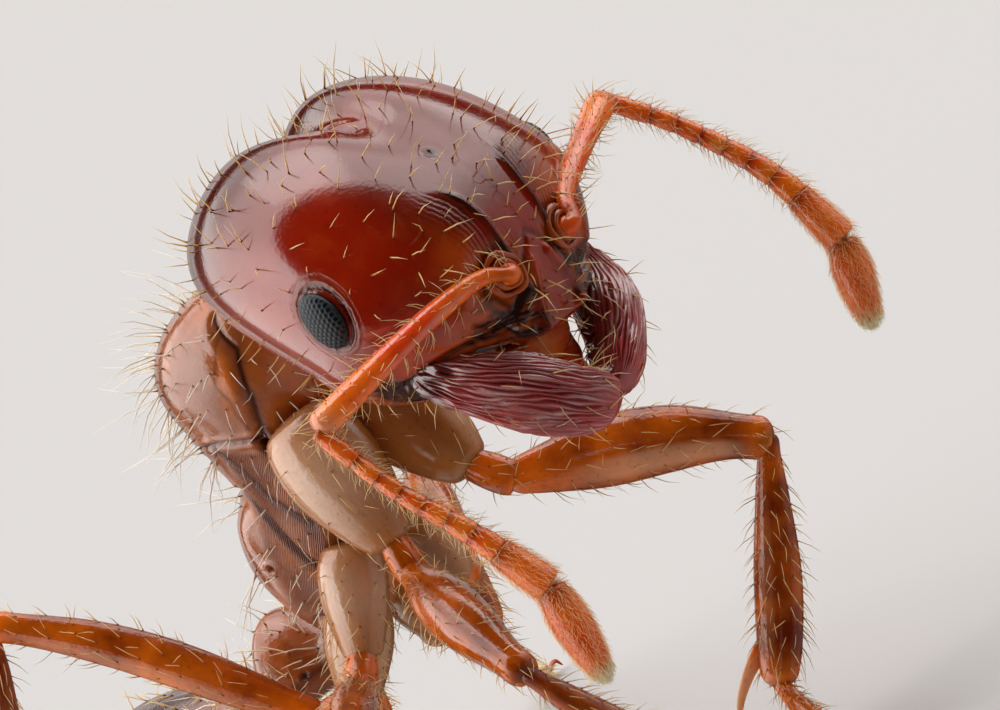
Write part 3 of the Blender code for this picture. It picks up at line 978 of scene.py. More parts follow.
# ---- head ----
@dataclass
class Head:
    """Head capsule with its furrow, carinae, sockets and shield, and the hairs on it."""

    front: float = 0.86
    back: float = 1.24
    half_width: float = 0.98
    top: float = 0.68
    under: float = 0.75
    taper: Point = (0.30, 0.25, 0.55)
    droop: float = 0.25
    notch_depth: float = 0.34
    notch_half_width: float = 0.20
    socket: Point = SOCKET
    eye: Point = (-0.05, 0.97, 0.12)
    eye_radii: Point = (0.17, 0.062, 0.125)
    eye_roll: float = 25.0
    carina: Line = ((-0.02, 0.27), (0.14, 0.215), (0.30, 0.185), (0.46, 0.185), (0.60, 0.165), (0.68, 0.17))
    shield_rib: Line = ((0.60, 0.07), (0.72, 0.13), (0.84, 0.18))
    shield_edge: Line = ((0.47, 0.0), (0.56, 0.10), (0.66, 0.19), (0.70, 0.30), (0.66, 0.42), (0.60, 0.52))
    jaw_seat: Line = ((0.40, -0.20), (0.47, -0.02), (0.56, 0.10), (0.64, 0.18))
    drawn_in: float = 0.992          # leaves room for the relief inside the solid
    rows: int = 300
    columns: int = 320

    def capsule(self, along: Array, around: Array) -> Array:
        """Smooth capsule: a rounded box, tapered in front, notched and drooping behind.

        Args:
            along: angle from the front pole to the rear pole.
            around: angle about the long axis, from the left over the top.

        Returns:
            Points in the head's frame.
        """
        ahead, aside = np.cos(along), np.sin(along)
        power = np.where(ahead > 0, 1.0, 2 / 3.1)
        x = np.where(ahead > 0, self.front, self.back) * np.sign(ahead) * np.abs(ahead) ** power
        spread = np.abs(aside) ** power
        nose, rear = np.maximum(x / self.front, 0.0) ** 2, np.maximum(-x / self.back, 0.0)
        c, s = (np.sign(v) * np.abs(v) ** 0.93 for v in (np.cos(around), np.sin(around)))
        y = self.half_width * (1 - self.taper[0] * nose) * spread * c
        z = np.where(s > 0, self.top * (1 - self.taper[1] * nose),
                     self.under * (1 - self.taper[2] * nose)) * spread * s
        valley = bell(y, self.notch_half_width)
        x = x + self.notch_depth * valley * rear ** 3
        z = z - self.droop * rear ** 2 - 0.10 * valley * rear * np.maximum(s, 0.0)
        return np.stack([x, y, z], axis=-1)

    def eye_reach(self, x: Array, z: Array) -> Array:
        """Distance from the eye's middle, counted in eye radii.

        Args:
            x: places along the head.
            z: heights in the head's frame.

        Returns:
            One on the eye's rim, more outside it.
        """
        a = math.radians(self.eye_roll)
        dx, dz = x - self.eye[0], z - self.eye[2]
        u, v = dx * math.cos(a) - dz * math.sin(a), dx * math.sin(a) + dz * math.cos(a)
        return np.hypot(u / self.eye_radii[0], v / self.eye_radii[2])

    def relief(self, p: Array) -> tuple[Array, dict[str, Array]]:
        """Sculpture over the capsule.

        A mark is a distance from a point or from a broken line. A bell of that distance raises, sinks,
        darkens or clears the shell, and smooth steps keep each mark to its own part of the head.

        Args:
            p: places in the head's frame.

        Returns:
            Height over the capsule in millimetres, and the tags.
        """
        x, y, z = np.moveaxis(p, -1, 0)
        side = np.abs(y)
        face, beside = step(0.02, 0.22, z), step(0.6, 0.75, side)
        # crown: the furrow with its lips, the ocellus, and the groove in front of it
        midline = y + 0.06 * (1 - step(-0.4, 0.3, x))
        behind = 1 - step(-0.70, -0.54, x)
        cleft = behind * step(-0.35, 0.0, z)
        lips = bell(np.abs(midline) - 0.07, 0.045) * behind * face
        ocellus = np.hypot((x + 0.15) / 1.5, midline)
        groove = bell(y, 0.016) * step(-0.10, 0.0, x) * (1 - step(0.40, 0.50, x)) * face
        # brow: the carina and the fine ribs that fan out from it, and the wells of the feelers
        keel = line_distance(x, side, self.carina)
        keel_on = face * step(-0.02, 0.20, x) * (1 - step(0.62, 0.72, x))
        fan = (bell(keel - 0.07, 0.10) * step(0.17, 0.24, side) * face * step(-0.05, 0.15, x)
               * (1 - step(0.56, 0.68, x)))
        ribs = 0.5 + 0.5 * np.sin(2 * np.pi * (keel / 0.034 + 0.6 * np.sin(6 * x)))
        pit = np.hypot(x - self.socket[0] + 0.02, side - self.socket[1] - 0.06)
        well = np.hypot(x - self.socket[0], side - self.socket[1])
        # front: the shield, the jaw's seat, the mouth under its toothed brim, and the folds around
        rib = line_distance(x, side, self.shield_rib)
        edge = line_distance(x, side, self.shield_edge)
        seat = line_distance(x, z, self.jaw_seat)
        seat_on = step(0.42, 0.56, side) * step(0.2, 0.4, x)
        mouth = (1 - step(-0.02, 0.13, z)) * step(0.52, 0.68, x) * (1 - step(0.46, 0.60, side))
        brim = bell(z - 0.15 - 0.10 * side ** 2, 0.035) * step(0.62, 0.72, x) * (1 - step(0.35, 0.5, side))
        snout = step(0.50, 0.64, x) * step(0.12, 0.24, side) * (1 - step(0.40, 0.50, z))
        snout_waves = 5 * np.sin(17 * x + 7 * z) + 3 * np.sin(29 * side)
        snout_folds = snout * (0.5 + 0.5 * np.sin(74 * z - 52 * x + snout_waves))
        cheek = bell(x - 0.42, 0.15) * bell(z + 0.25, 0.13) * step(0.46, 0.66, side)
        cheek_waves = 5 * np.sin(14 * x) + 3 * np.sin(31 * side)
        cheek_folds = cheek * (0.5 + 0.5 * np.sin(60 * (z + 0.35 * x) + cheek_waves))
        creases = (np.sin(25 * x + 12 * side + 2 * np.sin(17 * z)) * step(0.55, 0.70, x)
                   * np.sin(21 * z - 14 * side + 1.5 * np.sin(23 * x)) * step(0.06, 0.16, side))
        # flank and underside: the rim of the eye and the throat's seam
        reach = self.eye_reach(x, z)
        around_eye = (1 - step(1.18, 1.55, reach)) * step(1.0, 1.08, reach) * beside
        throat = bell(y, 0.018) * (1 - face) * step(-1.0, -0.7, x) * (1 - step(0.4, 0.5, x))

        height = (-0.070 * bell(midline, 0.030) * cleft + 0.010 * lips - 0.018 * bell(ocellus, 0.024)
                  + 0.005 * bell(ocellus - 0.050, 0.020) - 0.006 * groove
                  + 0.030 * bell(keel, 0.022) * keel_on - 0.050 * bell(pit, 0.13) * face
                  - 0.045 * bell(well, 0.09) + 0.022 * bell(rib, 0.028) * face
                  - 0.011 * bell(edge, 0.020) * face - 0.020 * bell(seat, 0.018) * seat_on
                  - 0.13 * mouth + 0.030 * brim + 0.025 * brim * bell(side - 0.13, 0.05) - 0.010 * throat
                  - 0.020 * bell(reach - 1.06, 0.05) * beside
                  + 0.0004 * fan * ribs - 0.012 * cheek_folds - 0.0035 * snout_folds + 0.007 * creases
                  + 0.0008 * around_eye * np.sin(2 * np.pi * reach / 0.16))
        ridge = fan + 0.9 * cheek + 0.9 * around_eye + 0.5 * bell(well - 0.17, 0.07) * face + 0.35 * snout
        wrinkle = 0.30 * x + 0.55 * z + 0.05 * np.sin(13 * x + 3 * z) + 0.03 * np.sin(29 * z - 9 * x)
        lane = np.where(around_eye > 0.05, 0.16 * reach, np.where(cheek + snout > 0.3, wrinkle, keel))
        amber = np.hypot((x - 0.36) / 0.22, (side - 0.44) / 0.15)
        muzzle = step(0.44, 0.60, x) * step(0.12, 0.26, side) * bell(z - 0.22, 0.20)
        glow = (0.55 * bell(amber, 0.9) * face + 0.75 * bell(well - 0.11, 0.06) + 0.25 * around_eye
                + 0.30 * (1 - face) * step(-0.2, 0.4, x) + 0.45 * muzzle)
        # painted shade: the back of the head and its top behind the face are darkened, most at the very back
        crown = 1 - step(-0.85, -0.40, x) + step(0.50, 0.62, z) * (1 - step(0.2, 0.4, x))
        # painted shade also darkens the furrow's floor, the ocellus pit, the mouth, the jaw's seat and the
        # groove round the eye
        shade = ((0.48 + 0.37 * (1 - step(-1.0, -0.75, x))) * held(crown)
                 + 1.3 * bell(midline, 0.016) * cleft + 0.9 * bell(ocellus, 0.024)
                 + 0.55 * bell(edge, 0.014) * face + 0.6 * np.maximum(creases, 0)
                 + 0.35 * step(0.60, 0.80, x) * step(0.05, 0.15, side)
                 + 0.95 * step(0.12, 0.5, cheek) + 0.8 * mouth + 0.7 * bell(seat, 0.02) * seat_on
                 + (0.5 * bell(reach - 1.04, 0.05) + 0.42 * around_eye) * beside
                 + 0.85 * bell(keel, 0.016) * keel_on + 0.6 * step(0.80, 0.88, x) * brim
                 + snout * (0.04 + 0.38 * (1 - snout_folds)) + 0.45 * bell(well - 0.13, 0.035) * face)
        # painted sheen: a painted reflection low on each flank, behind and below the eye
        painted_sheen = (0.22 * bell(z + 0.34, 0.26) * (1 - step(-0.15, 0.25, x)) * step(0.5, 0.8, side)
                * (1 - step(-0.02, 0.08, z)) * (1 - bell(reach, 1.25)))
        return height, {"glow": held(glow), "shade": held(shade),
                        "ridge": held(ridge), "lane": lane, "painted_sheen": painted_sheen}

    def skin(self) -> Surface:
        """Capsule with its relief.

        Returns:
            The whole head in the ant's frame.
        """
        points = self.capsule(tilts(self.rows)[:, None], angles(self.columns)[None, :]) * self.drawn_in
        height, tags = self.relief(points)
        return Surface(points, tags).pushed(height).moved(HEAD)

    def rims(self) -> list[Surface]:
        """Two raised rims round each feeler's socket.

        Returns:
            The four rims, in the ant's frame.
        """
        made = []
        for sign in (1, -1):
            centre = np.array(self.socket) * (1, sign, 1)
            normal = unit(np.array([0.64, sign * 0.25, 0.72]))
            for radius, thick, lift in ((0.112, 0.020, -0.028), (0.074, 0.017, -0.006)):
                rim = hoop(centre + normal * lift, normal, radius, thick, 60, 0.07).moved(HEAD)
                rim.tags = {"glow": 0.9, "shade": 0.45}
                made.append(rim)
        return made

    def build(self, shop: Workshop) -> None:
        """Make the capsule, its rims and its hairs.

        Args:
            shop: where pieces are made.
        """
        skin = self.skin()
        shop.body("head_capsule", [skin], Finish.HEAD, "cuticle", ["head"])
        shop.body("head_socket_rims", self.rims(), Finish.HEAD, "cuticle", ["head"])
        x, y, z = np.moveaxis(HEAD.local(skin.points), -1, 0)
        bare = (self.eye_reach(x, z) < 1.25) & (np.abs(y) > 0.6)
        mouth = (z < 0.05) & (x > 0.5)
        well = np.hypot(x - self.socket[0], np.abs(y) - self.socket[1]) < 0.13
        weight = np.where(bare | mouth | (well & (z > 0)), 0.0, 1.0)
        coat = Coat(shop.rng)
        sparse = skin.scatter(270, SEED, weight)
        coat.grow(sparse, Bristle(0.09, 0.17, 0.0042, 22, 10, 0.12), HEAD.turn((0.2, 0, 1.0)))
        crown = skin.scatter(60, SEED + 1, weight * step(0.35, 0.75, -x) * step(-0.5, 0.0, z))
        coat.grow(crown, Bristle(0.16, 0.29, 0.0040, 22, 10, 0.3), HEAD.turn((-0.6, 0, 0.6)))
        brow = skin.scatter(40, SEED + 2, weight * step(-0.2, 0.1, x) * step(0.25, 0.5, z))
        coat.grow(brow, Bristle(0.14, 0.24, 0.0042, 15, 12, 0.25), HEAD.turn((1.0, 0, 0.3)))
        shield = skin.scatter(14, SEED + 3, step(0.66, 0.74, x) * step(0.10, 0.16, z))
        coat.grow(shield, Bristle(0.14, 0.28, 0.0050, 26, 12, 0.3), HEAD.turn((1.0, 0, -0.5)))
        coat.build(shop, "head_hairs", Finish.GOLD, "cuticle", ["head"])


@dataclass
class Eyes:
    """Oval domes of six-sided facets."""

    head: Head
    facet: float = 0.031             # width of a facet
    swell: float = 0.0075            # height of its lens
    sunk: float = 0.008

    def net(self, u: Array, v: Array) -> Array:
        """Distance from the nearest facet's middle.

        The middles form a triangular lattice, which is two rectangular lattices half a step apart.

        Args:
            u: places along the eye.
            v: places across the eye.

        Returns:
            Zero at a facet's middle, one at its walls.
        """
        wide, tall = self.facet, self.facet * math.sqrt(3.0)

        def nearest(du: float, dv: float) -> Array:
            """Distance from the nearest middle of one rectangular lattice."""
            return np.hypot((u - du + wide / 2) % wide - wide / 2, (v - dv + tall / 2) % tall - tall / 2)

        return np.minimum(nearest(0, 0), nearest(wide / 2, tall / 2)) / (wide / 2)

    def build(self, shop: Workshop) -> None:
        """Make both eyes: a half egg whose outer face swells between the walls of its net.

        Args:
            shop: where pieces are made.
        """
        rx, ry, rz = self.head.eye_radii
        tilt, turn = tilts(120)[:, None], angles(190)[None, :]
        u, v = rx * np.sin(tilt) * np.cos(turn), rz * np.sin(tilt) * np.sin(turn)
        outward = ry * np.cos(tilt) * np.ones_like(turn)
        reach = self.net(u, v)
        on = step(0.0, 0.25, np.cos(tilt)) * np.ones_like(turn)
        lift = self.swell * np.sqrt(np.maximum(1 - np.minimum(reach, 1.05) ** 2 * 0.85, 0.0)) * on
        a = math.radians(self.head.eye_roll)
        for side in Side:
            points = np.stack([u * math.cos(a) + v * math.sin(a) + self.head.eye[0],
                               side.sign * (outward + lift + self.head.eye[1] - self.sunk),
                               v * math.cos(a) - u * math.sin(a) + self.head.eye[2]], axis=-1)
            eye = Surface(points, {"net": step(0.55, 0.98, reach) * on}).moved(HEAD)
            name = "_" + side.value
            shop.body("eye_facets" + name, [eye], Finish.EYE, "eye", ["eye" + name], ("net",))


@dataclass
class Jaws:
    """Stout ridged mandibles with blunt dark teeth."""

    stations: Table = (              # x, y, z, half depth, half width
        (0.36, 0.69, -0.12, 0.09, 0.05), (0.48, 0.66, -0.11, 0.135, 0.09),
        (0.62, 0.60, -0.09, 0.168, 0.12), (0.78, 0.52, -0.065, 0.205, 0.145),
        (0.95, 0.42, -0.05, 0.240, 0.155), (1.12, 0.29, -0.075, 0.225, 0.135),
        (1.22, 0.17, -0.10, 0.200, 0.12), (1.30, 0.075, -0.12, 0.135, 0.08))
    tuck: tuple[float, float] = (-0.075, -0.06)      # the left one closes under the right
    ridges: int = 42
    rows: int = 150
    columns: int = 300

    def blade(self, sign: int) -> Surface:
        """One jaw: an oval section along its curve, thinned to a toothed inner edge.

        Lengthwise ribs are a sine of the angle whose phase drifts with both parameters, so that they
        wander, fork and fade; short creases cross them near the hinge.

        Args:
            sign: one for the left, minus one for the right.

        Returns:
            The jaw in the head's frame.
        """
        rows = np.array(self.stations)
        walked = np.concatenate([[0], np.cumsum(np.linalg.norm(np.diff(rows[:, :3], axis=0), axis=1))])
        at = walked[-1] * (0.01 + 0.99 * eased(self.rows))
        x, y, z, deep, wide = (profile(np.stack([walked, rows[:, k]], 1), at) for k in range(5))
        flat = at / walked[-1]
        if sign > 0:
            x, y = x + self.tuck[0] * flat, y + self.tuck[1] * (0.4 + 0.6 * flat)
        path = np.stack([x, sign * y, z], axis=1)
        ahead = unit(np.gradient(path, axis=0))
        across = unit(np.cross(np.array([0.0, 0.0, 1.0]), ahead)) * sign
        up = unit(np.cross(across, ahead)) * sign
        up = up * np.sign(up[:, 2:3])
        share, turn = flat[:, None], angles(self.columns)[None, :]

        drift = (5.5 * np.sin(1.6 * np.pi * share) + 2.2 * np.sin(3 * turn + 6 * share)
                 + 1.6 * np.sin(7 * turn - 17 * share) + 0.9 * np.sin(13 * turn + 29 * share))
        rib = 2 * np.abs(np.sin(self.ridges / 2 * turn + 0.5 * drift)) ** 0.7 - 1
        rib = 0.8 * rib + 0.35 * np.sin(17 * turn - 6 * share + drift)
        flare = 1 - bell(turn - np.pi, 0.55) * step(0.45, 0.7, share)
        swell = 0.65 + 0.35 * np.sin(4 * turn + 9 * share)
        ribs = 0.0135 * rib * swell * flare * step(0.05, 0.25, share) * (1 - step(0.90, 1.0, share))
        waves = np.sin(46 * share + 3 * np.sin(3 * turn) + 2 * np.sin(7 * turn))
        lift = ribs + 0.008 * waves * (1 - step(0.18, 0.36, share)) * step(0.03, 0.10, share)
        teeth = (0.045 * bell(turn - np.pi, 0.35) * step(0.55, 0.65, share)
                 * (0.5 + 0.5 * np.sin(2 * np.pi * 11 * share)))
        pinch = 1 - 0.45 * bell(turn - np.pi, 0.9) * step(0.35, 0.8, share)
        closing = caps(flat, 0.06, 0.07)
        aside = np.cos(turn) * ((wide * closing)[:, None] + lift + teeth)
        above = np.sin(turn) * ((deep * closing)[:, None] * pinch + lift)
        points = path[:, None] + across[:, None] * aside[..., None] + up[:, None] * above[..., None]
        points[..., 1] = sign * np.maximum(sign * points[..., 1], 0.012)

        edge = bell(turn - np.pi, 0.5) * step(0.4, 0.7, share)
        ends = step(0.86, 0.98, share) + 1.4 * (1 - step(0.08, 0.34, share))
        open_part = held(1 - ends)
        # painted shade in the valleys between the ribs; painted glints and painted sheen on their crests
        furrows = step(0.1, -0.7, rib) * flare
        painted_glint = np.maximum(rib, 0) * open_part * bell(np.sin(3 * turn + 8 * share), 0.8)
        painted_sheen = 0.58 * step(0.25, 0.9, rib) * flare * open_part * bell(np.sin(2 * turn - 11 * share + 1), 0.7)
        return Surface(points, {
            "shade": held(0.9 * edge + 0.5 * ends - 0.35 * step(0.8, 0.95, share) + 0.45 * furrows),
            "glow": held(0.05 + 0.35 * step(0.75, 0.92, share) + 0.45 * painted_glint),
            "painted_sheen": painted_sheen, "ridge": 0.35 * flare * open_part, "lane": 0.2 * turn})

    def build(self, shop: Workshop) -> None:
        """Make both jaws and their hairs.

        Args:
            shop: where pieces are made.
        """
        for side in Side:
            blade = self.blade(side.sign).moved(HEAD)
            node = "mandible_" + side.value
            shop.body("jaw_" + side.value, [blade], Finish.JAW, "jaw", [node])
            coat = Coat(shop.rng)
            share = np.linspace(0, 1, self.rows)[:, None]
            inner = bell(angles(self.columns) - np.pi, 0.8)
            coat.grow(blade.scatter(38, SEED + 5, step(0.15, 0.3, share)),
                      Bristle(0.10, 0.18, 0.0040, 40, 12, 0.3))
            coat.grow(blade.scatter(16, SEED + 6, step(0.5, 0.7, share) * inner),
                      Bristle(0.14, 0.22, 0.0046, 35, 12, 0.3))
            coat.build(shop, "jaw_hairs_" + side.value, Finish.GOLD, "jaw", [node])


@dataclass
class Mouth:
    """Upper lip, folded maxillae, tongue and palps behind the jaws."""

    lobes: tuple[tuple, ...] = (     # start, bend, end, half width, half depth, glow
        ((0.50, 0.0, -0.02), (0.72, 0.0, -0.04), (0.88, 0.0, -0.12), 0.20, 0.055, 0.55),
        ((0.45, 0.13, -0.20), (0.78, 0.14, -0.20), (0.98, 0.10, -0.22), 0.085, 0.085, 0.65),
        ((0.45, -0.13, -0.20), (0.78, -0.14, -0.20), (0.98, -0.10, -0.22), 0.085, 0.085, 0.65),
        ((0.45, 0.0, -0.27), (0.72, 0.0, -0.28), (0.96, 0.0, -0.26), 0.12, 0.06, 0.9),
    )
    palp_routes: tuple[tuple[Point, ...], ...] = (
        ((0.80, 0.20, -0.27), (0.93, 0.24, -0.33), (1.02, 0.22, -0.40)),
        ((0.86, 0.06, -0.30), (0.96, 0.07, -0.37), (1.01, 0.05, -0.45)),
    )

    def folds(self) -> list[Surface]:
        """Rounded lobes, each an oval section along a short bent path.

        Returns:
            Upper lip, two maxillae and tongue, in the ant's frame.
        """
        made = []
        for start, bend, end, wide, deep, glow in self.lobes:
            share = eased(40)
            body = caps(share, 0.15, 0.35) * (1 + 0.06 * np.sin(22 * share))
            lobe = sweep(curve((start, bend, end), 40), wide * body, deep * body, (0.1, 0, 1.0), 40)
            lobe.tags = {"glow": glow, "shade": 0.35 * bell(share - 0.05, 0.1), "ridge": 0.25, "lane": share}
            made.append(lobe.moved(HEAD))
        return made

    def palps(self) -> list[Surface]:
        """Two pairs of two-jointed feelers of the mouth, in the ant's frame.

        Returns:
            Their eight joints.
        """
        made = []
        share = eased(16)
        girth = 0.017 * caps(share, 0.3, 0.3) * (0.8 + 0.5 * share)
        for sign in (1, -1):
            for route in self.palp_routes:
                knots = np.array(route) * (1, sign, 1)
                for start, end in zip(knots, knots[1:]):
                    path = start + np.outer(share, end - start)
                    joint = sweep(path, girth, girth, (0, 1.0, 0.2), 16)
                    joint.tags = {"glow": 0.8}
                    made.append(joint.moved(HEAD))
        return made

    def build(self, shop: Workshop) -> None:
        """Make the mouthparts."""
        shop.body("mouth_lobes", self.folds() + self.palps(), Finish.FEELER, "jaw", ["mouthparts"])


# ---- feelers ----
FEELER_ROUTES = {             # elbow, two bends, root of the club, its tip; from the head's centre
    Side.RIGHT: ((0.17, -1.50, -0.28), (0.380, -1.412, -0.720), (0.617, -1.310, -1.095),
                 (0.838, -1.205, -1.530), (0.93, -1.25, -2.10)),
    Side.LEFT: ((0.18, 1.46, 0.12), (0.42, 1.66, -0.22), (0.70, 1.80, -0.66),
                (0.90, 1.83, -1.12), (0.92, 1.70, -1.60)),
}


@dataclass
class Feeler:
    """Long first joint, seven-jointed whip and two-jointed club, thick with short hair."""

    side: Side
    socket: Point = SOCKET
    joints: tuple[float, ...] = (0.0, 0.17, 0.27, 0.365, 0.46, 0.56, 0.665, 0.775, 1.0)
    girths: tuple[float, ...] = (0.052, 0.050, 0.051, 0.053, 0.057, 0.063, 0.071, 0.090)
    arm_girth: Line = ((0, 0.060), (0.04, 0.062), (0.085, 0.040), (0.14, 0.045), (0.35, 0.062), (0.7, 0.072),
                       (0.90, 0.084), (1.0, 0.078))
    club_taper: Line = ((0, 1.0), (0.40, 1.0), (0.70, 0.84), (0.88, 0.64), (1.0, 0.42))

    def routes(self) -> tuple[Array, Array, Array]:
        """Paths of the first joint, the whip and the club.

        Returns:
            Three smooth paths, end to end: the first bows up from its socket to the elbow.
        """
        elbow, first, second, club, tip = np.array(FEELER_ROUTES[self.side]) + HEAD.centre
        base = HEAD.out(np.array(self.socket) * (1, self.side.sign, 1))
        out = 0.05 * unit(HEAD.turn((0.45, self.side.sign * 0.55, 0.70)))
        bow = HEAD.turn(unit(np.array([-0.6, 0.0, 0.8])))
        rise = [base + (elbow - base) * share + bow * lift
                for share, lift in ((0.10, 0.075), (0.30, 0.095), (0.60, 0.065))]
        arm = curve((base - out, base + out, *rise, elbow), 110)
        whip = curve((elbow, first, second, club), 160)
        end = club + (tip - club) * 0.97
        return arm, whip, curve((club, (club + end) / 2, end), 60)

    def arm(self, path: Array) -> Surface:
        """First joint: a bent neck at its socket, then slightly thicker towards the elbow.

        Args:
            path: its middle line.

        Returns:
            A nearly round tube with streaks of painted sheen on its upper side.
        """
        share = np.linspace(0, 1, len(path))
        girth = profile(self.arm_girth, share) * caps(share, 0.03, 0.035)
        body = sweep(path, girth, girth * 0.95, (0.2, 0.1, 1.0), 40)
        turn = angles(40)
        # painted sheen: streaks of painted reflection along the upper side, and at the elbow
        streak = bell(share - 0.45, 0.22)[:, None] * step(0.2, 0.8, np.sin(3 * turn + 5 * share[:, None]))
        body.tags = {"glow": held(0.35 + 0.25 * np.sin(9 * share) + 0.5 * step(0.85, 1.0, share)),
                     "painted_sheen": 0.35 * (streak + bell(share - 0.97, 0.05)[:, None]),
                     "shade": 0.5 * bell(share - 0.10, 0.04) + 0.25 * bell(share - 0.99, 0.02)}
        return body

    def bead(self, path: Array, first: float, last: float, thin: float, thick: float,
             bulge: float) -> Surface:
        """One joint of the whip or club: narrow where it begins, rounded off where the next one sits.

        Args:
            path: middle line of the whole whip or club.
            first: where the joint begins, as a share of the path.
            last: where it ends.
            thin: half thickness at its beginning.
            thick: half thickness past its bulge.
            bulge: share of the joint over which it thickens.

        Returns:
            A round tube, closed at both ends.
        """
        share = eased(44)
        line = walked_to(path, first + (last - first) * share)
        girth = (thin + (thick - thin) * step(0.0, bulge, share)) * caps(share, 0.06, 0.09)
        body = sweep(line, girth, girth, (0.2, 0.1, 1.0), 36)
        seam = bell(share, 0.20) + 0.4 * bell(share - 1, 0.05)
        body.tags = {"glow": 0.30 + 0.5 * bell(share - 0.6, 0.3), "shade": held(0.62 * seam)}
        return body

    def club(self, path: Array) -> Surface:
        """Last joint: a bead whose second half tapers to a pale blunt tip.

        Args:
            path: its middle line.

        Returns:
            The bead, each ring drawn in towards its middle by the taper.
        """
        body = self.bead(path, 0.0, 1.0, 0.080, 0.104, 0.35)
        share = eased(body.points.shape[0])
        middle = body.points.mean(axis=1, keepdims=True)
        body.points = middle + (body.points - middle) * profile(self.club_taper, share)[:, None, None]
        body.tags["glow"] = 0.45 + 0.55 * step(0.70, 0.97, share)
        body.tags["shade"] = body.tags["shade"] * (1 - step(0.5, 0.7, share))
        return body

    def build(self, shop: Workshop) -> None:
        """Make the three lengths and their hair, thicker and finer towards the tip.

        Args:
            shop: where pieces are made.
        """
        arm, whip, club = self.routes()
        side = "_" + self.side.value
        beads = [self.bead(whip, a, b + 0.012, 0.86 * girth, girth, 0.55 if girth < 0.08 else 0.75)
                 for a, b, girth in zip(self.joints, self.joints[1:], self.girths)]
        tip = self.club(club)
        down = Bristle(0.036, 0.066, 0.0014, 54, 9, 0.25)
        parts = (
            ("scape", [self.arm(arm)], "arm", 170, Bristle(0.075, 0.155, 0.0028, 34, 14, 0.3), Finish.GOLD),
            ("funiculus", beads[:-1], "whip", 460, Bristle(0.060, 0.110, 0.0021, 42, 12, 0.3), Finish.GOLD),
            ("funiculus", beads[-1:], "club_root", 700, Bristle(0.040, 0.070, 0.0015, 50, 10, 0.25),
             Finish.FUZZ),
            ("club", [tip], "club", 1350, down, Finish.FUZZ))
        for part, bodies, name, count, kind, hair in parts:
            node = part + side
            shop.body("feeler_" + name + side, bodies, Finish.FEELER, "limb", [node])
            coat = Coat(shop.rng, tiles=len(bodies))
            areas = np.array([np.ptp(body.points.reshape(-1, 3), axis=0).sum() for body in bodies])
            for k, body in enumerate(bodies):
                share = np.linspace(0, 1, body.points.shape[0])[:, None]
                fades = {"scape": step(0.0, 0.12, share), "club": 1.05 - step(0.70, 0.92, share)}
                weight = fades.get(part, 1.0)
                coat.grow(body.scatter(int(count * areas[k] / areas.sum()), SEED + k, weight), kind, tile=k)
            coat.build(shop, "feeler_" + name + "_hair" + side, hair, "limb", [node])
        coat = Coat(shop.rng)
        share = np.linspace(0, 1, tip.points.shape[0])[:, None]
        coat.grow(tip.scatter(520, SEED + 9, step(0.66, 0.90, share)), replace(down, thick=0.0015))
        coat.build(shop, "feeler_tip_hair" + side, Finish.STRAW, "limb", ["club" + side])


